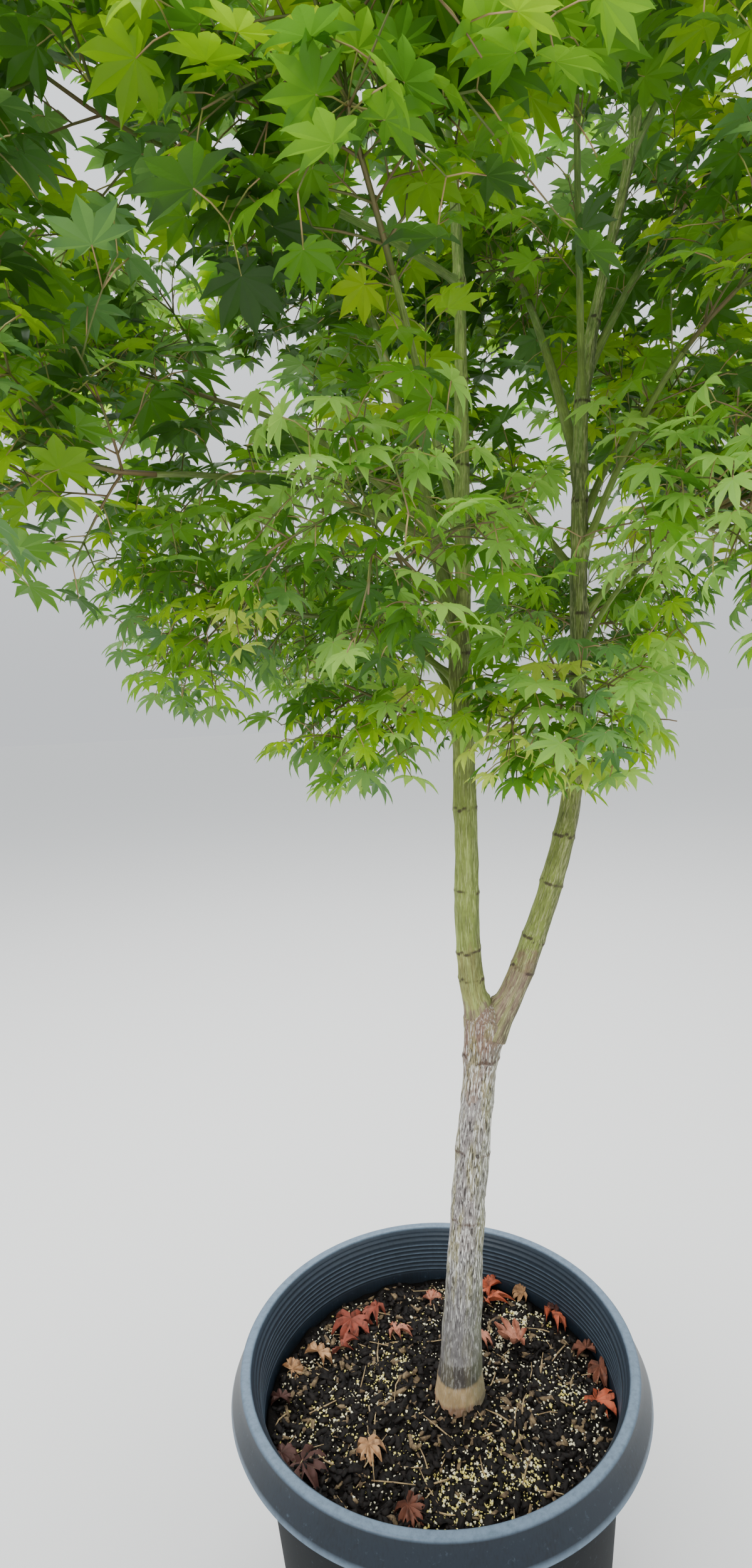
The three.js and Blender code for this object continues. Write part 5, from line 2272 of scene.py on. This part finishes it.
@dataclass
class FallenLeaves:
    """Last year's leaves on the mix, curled and dry, where the photo shows them.

    Each colour has its leaves' x, y and length in millimetres, and their curl. A curled leaf lies higher, by
    the share `curl_lift` of its length, and its stalk ends by the share `back` behind its middle.
    """

    mix: PottingMix
    places: tuple = (
        ("#924836", ((-131, 136, 58, 1.1), (-112, 172, 50, 1.7), (-150, 118, 44, 1.5))),
        ("#c0603f", ((110, 204, 52, 1.0), (96, 232, 46, 1.5), (243, -32, 50, 0.9), (219, 141, 52, 2.0))),
        ("#bd7c62", ((-47, 136, 42, 1.0), (117, 94, 50, -1.1), (15, 205, 40, 1.5), (86, 112, 40, 1.6))),
        ("#c09468", ((-177, 100, 48, 1.7), (-104, -100, 44, 1.9), (-213, 70, 44, 2.2), (150, 205, 36, 1.8))),
        ("#7c4a36", ((-43, -184, 44, 1.6), (236, 84, 46, 1.9), (250, 18, 44, 1.7), (60, 240, 38, 1.8))),
        ("#55352e", ((-186, -115, 60, 1.2), (-210, -84, 44, 2.0), (-238, 24, 40, 2.1), (206, 168, 36, 2.0))),
        ("#9b9084", ((-56, -160, 34, 0.7),)),
    )
    lift: float = 0.002
    curl_lift: float = 0.14
    back: float = 0.4
    off_wall: float = 0.002
    seed: int = 77

    def build(self) -> None:
        """Lay the leaves on the mix, each turned at random and tilted a little."""
        rng = np.random.default_rng(self.seed)
        for number, (colour, rows) in enumerate(self.places, 1):
            table = np.array(rows)
            count = len(table)
            level, size, curl = table[:, :2] * MM, table[:, 2] * MM, table[:, 3]
            course = headings(rng.uniform(0, TURN, count))
            along = unit(np.column_stack([course, rng.uniform(-0.1, 0.25, count)]))
            face = turned_about(unit(UP - along * along[:, 2:]), along, rng.normal(0, 0.3, count))
            high = self.mix.height_at(level) + self.lift + size * np.abs(curl) * self.curl_lift
            root = np.column_stack([level, high]) - along * size[:, None] * self.back
            surface = SHRUNKEN.blades(root, along, face, size, curl, rng.normal(0, 0.6, count))
            self.lean(surface)
            finish = DryLeaf(f"dry_leaf_{number}", colour)
            add_piece(f"fallen_leaves_{number}", surface, finish, "potting_mix", [])

    def lean(self, surface: Surface) -> None:
        """Bend what would pass the pot's wall up along it: what lies beyond the wall is added to the height.

        Args:
            surface: The leaves, changed in place.
        """
        level, height = surface.points[:, :2], surface.points[:, 2]
        radius = np.linalg.norm(level, axis=1)
        room = self.mix.pot.wall_inner(height) - self.off_wall
        beyond = np.clip(radius - room, 0, None)
        surface.points[:, :2] = level * ((radius - beyond) / radius)[:, None]
        surface.points[:, 2] = height + beyond


# Studio


@dataclass(frozen=True)
class Studio:
    """A pale floor, soft lights and the camera where the photo was taken from.

    Attributes:
        floor_half: Half the floor's width.
        air: The colour of the world's light,
        horizon: its strength at the horizon,
        zenith: its strength overhead,
        reached: and the upward part of the direction at which it has that.
        lamps: Square lamps: name, place, the place that it faces, width and power.
        place: The camera's place.
        pitch: How far it looks down, in degrees.
        roll: How far it is rolled, in degrees.
        focal_share: The focal length over the picture's height, both in pixels.
        sensor_mm: The sensor's width.
    """

    floor_half: float = 40.0
    air: str = "#e6eaee"
    horizon: float = 1.0
    zenith: float = 1.6
    reached: float = 0.6
    lamps: tuple = (
        ("key_light", (-2.4, -3.2, 4.6), (0.05, 0.0, 1.4), 3.2, 190.0),
        ("fill_light", (3.6, -2.4, 2.6), (0.05, 0.0, 1.2), 3.0, 45.0),
        ("sky_light", (0.3, 1.2, 5.8), (0.1, 0.0, 1.9), 4.0, 540.0),
    )
    place: tuple[float, float, float] = (-0.047, -1.141, 1.419)
    pitch: float = 5.883
    roll: float = -3.0
    focal_share: float = 1323.2 / 2502
    sensor_mm: float = 36.0

    def build(self) -> None:
        """Make the floor, the world's light, the lamps and the camera."""
        self.add_floor()
        self.add_world()
        for name, place, aim, size, power in self.lamps:
            light = bpy.data.lights.new(name, "AREA")
            light.shape, light.size, light.energy = "SQUARE", size, power
            lamp = bpy.data.objects.new(name, light)
            lamp.location = place
            lamp.rotation_euler = (Vector(aim) - Vector(place)).to_track_quat("-Z", "Y").to_euler()
            bpy.context.scene.collection.objects.link(lamp)
        self.add_camera()

    def add_floor(self) -> None:
        """Add the floor, which is stage only."""
        half = self.floor_half
        corners = np.array([[-half, -half, 0], [half, -half, 0], [half, half, 0], [-half, half, 0]])
        mesh = Surface(corners, [np.array([[0, 1, 2, 3]])]).mesh("studio_floor")
        floor = bpy.data.objects.new("studio_floor", mesh)
        mesh.materials.append(StudioFloor("pale_matt_floor").material())
        bpy.context.scene.collection.objects.link(floor)

    def add_world(self) -> None:
        """Add the world's light, which grows from the horizon upwards."""
        world = bpy.data.worlds.new("studio_air")
        world.use_nodes = True
        tree = world.node_tree
        sky = tree.nodes["Background"]
        sky.inputs["Color"].default_value = linear(self.air)
        # For the world, Object coordinates are the direction looked in.
        look = add_node(tree, "TexCoord")
        rise = add_node(tree, "SeparateXYZ", {0: (look, "Object")})
        glow = add_node(
            tree, "MapRange", {"Value": (rise, "Z")}, interpolation_type="SMOOTHSTEP",
            values={"From Max": self.reached, "To Min": self.horizon, "To Max": self.zenith},
        )
        tree.links.new(glow.outputs[0], sky.inputs["Strength"])
        bpy.context.scene.world = world

    def add_camera(self) -> None:
        """Add the camera, pitched down and rolled as the fit to the photo gave it."""
        pitch, roll = math.radians(self.pitch), math.radians(self.roll)
        right = Vector((math.cos(roll), math.sin(pitch) * math.sin(roll), math.cos(pitch) * math.sin(roll)))
        ahead = Vector((0.0, math.cos(pitch), -math.sin(pitch)))
        up = right.cross(ahead)
        turn = Matrix((right, up, -ahead)).transposed()
        data = bpy.data.cameras.new("photo_camera")
        data.sensor_fit = "AUTO"
        data.sensor_width = self.sensor_mm
        data.lens = self.focal_share * self.sensor_mm
        data.clip_start, data.clip_end = 0.05, 100.0
        camera = bpy.data.objects.new("photo_camera", data)
        camera.matrix_world = Matrix.Translation(self.place) @ turn.to_4x4()
        bpy.context.scene.collection.objects.link(camera)
        bpy.context.scene.camera = camera


def main() -> None:
    """Build the plant and its studio, one sub-assembly after another."""
    logging.basicConfig(level=logging.INFO, format="%(message)s")
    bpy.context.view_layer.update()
    pot = Pot()
    mix = PottingMix(pot)
    timber = Timber()
    for part in (pot, mix, FallenLeaves(mix), timber, Crown(timber), Studio()):
        part.build()


if __name__ == "__main__":
    main()
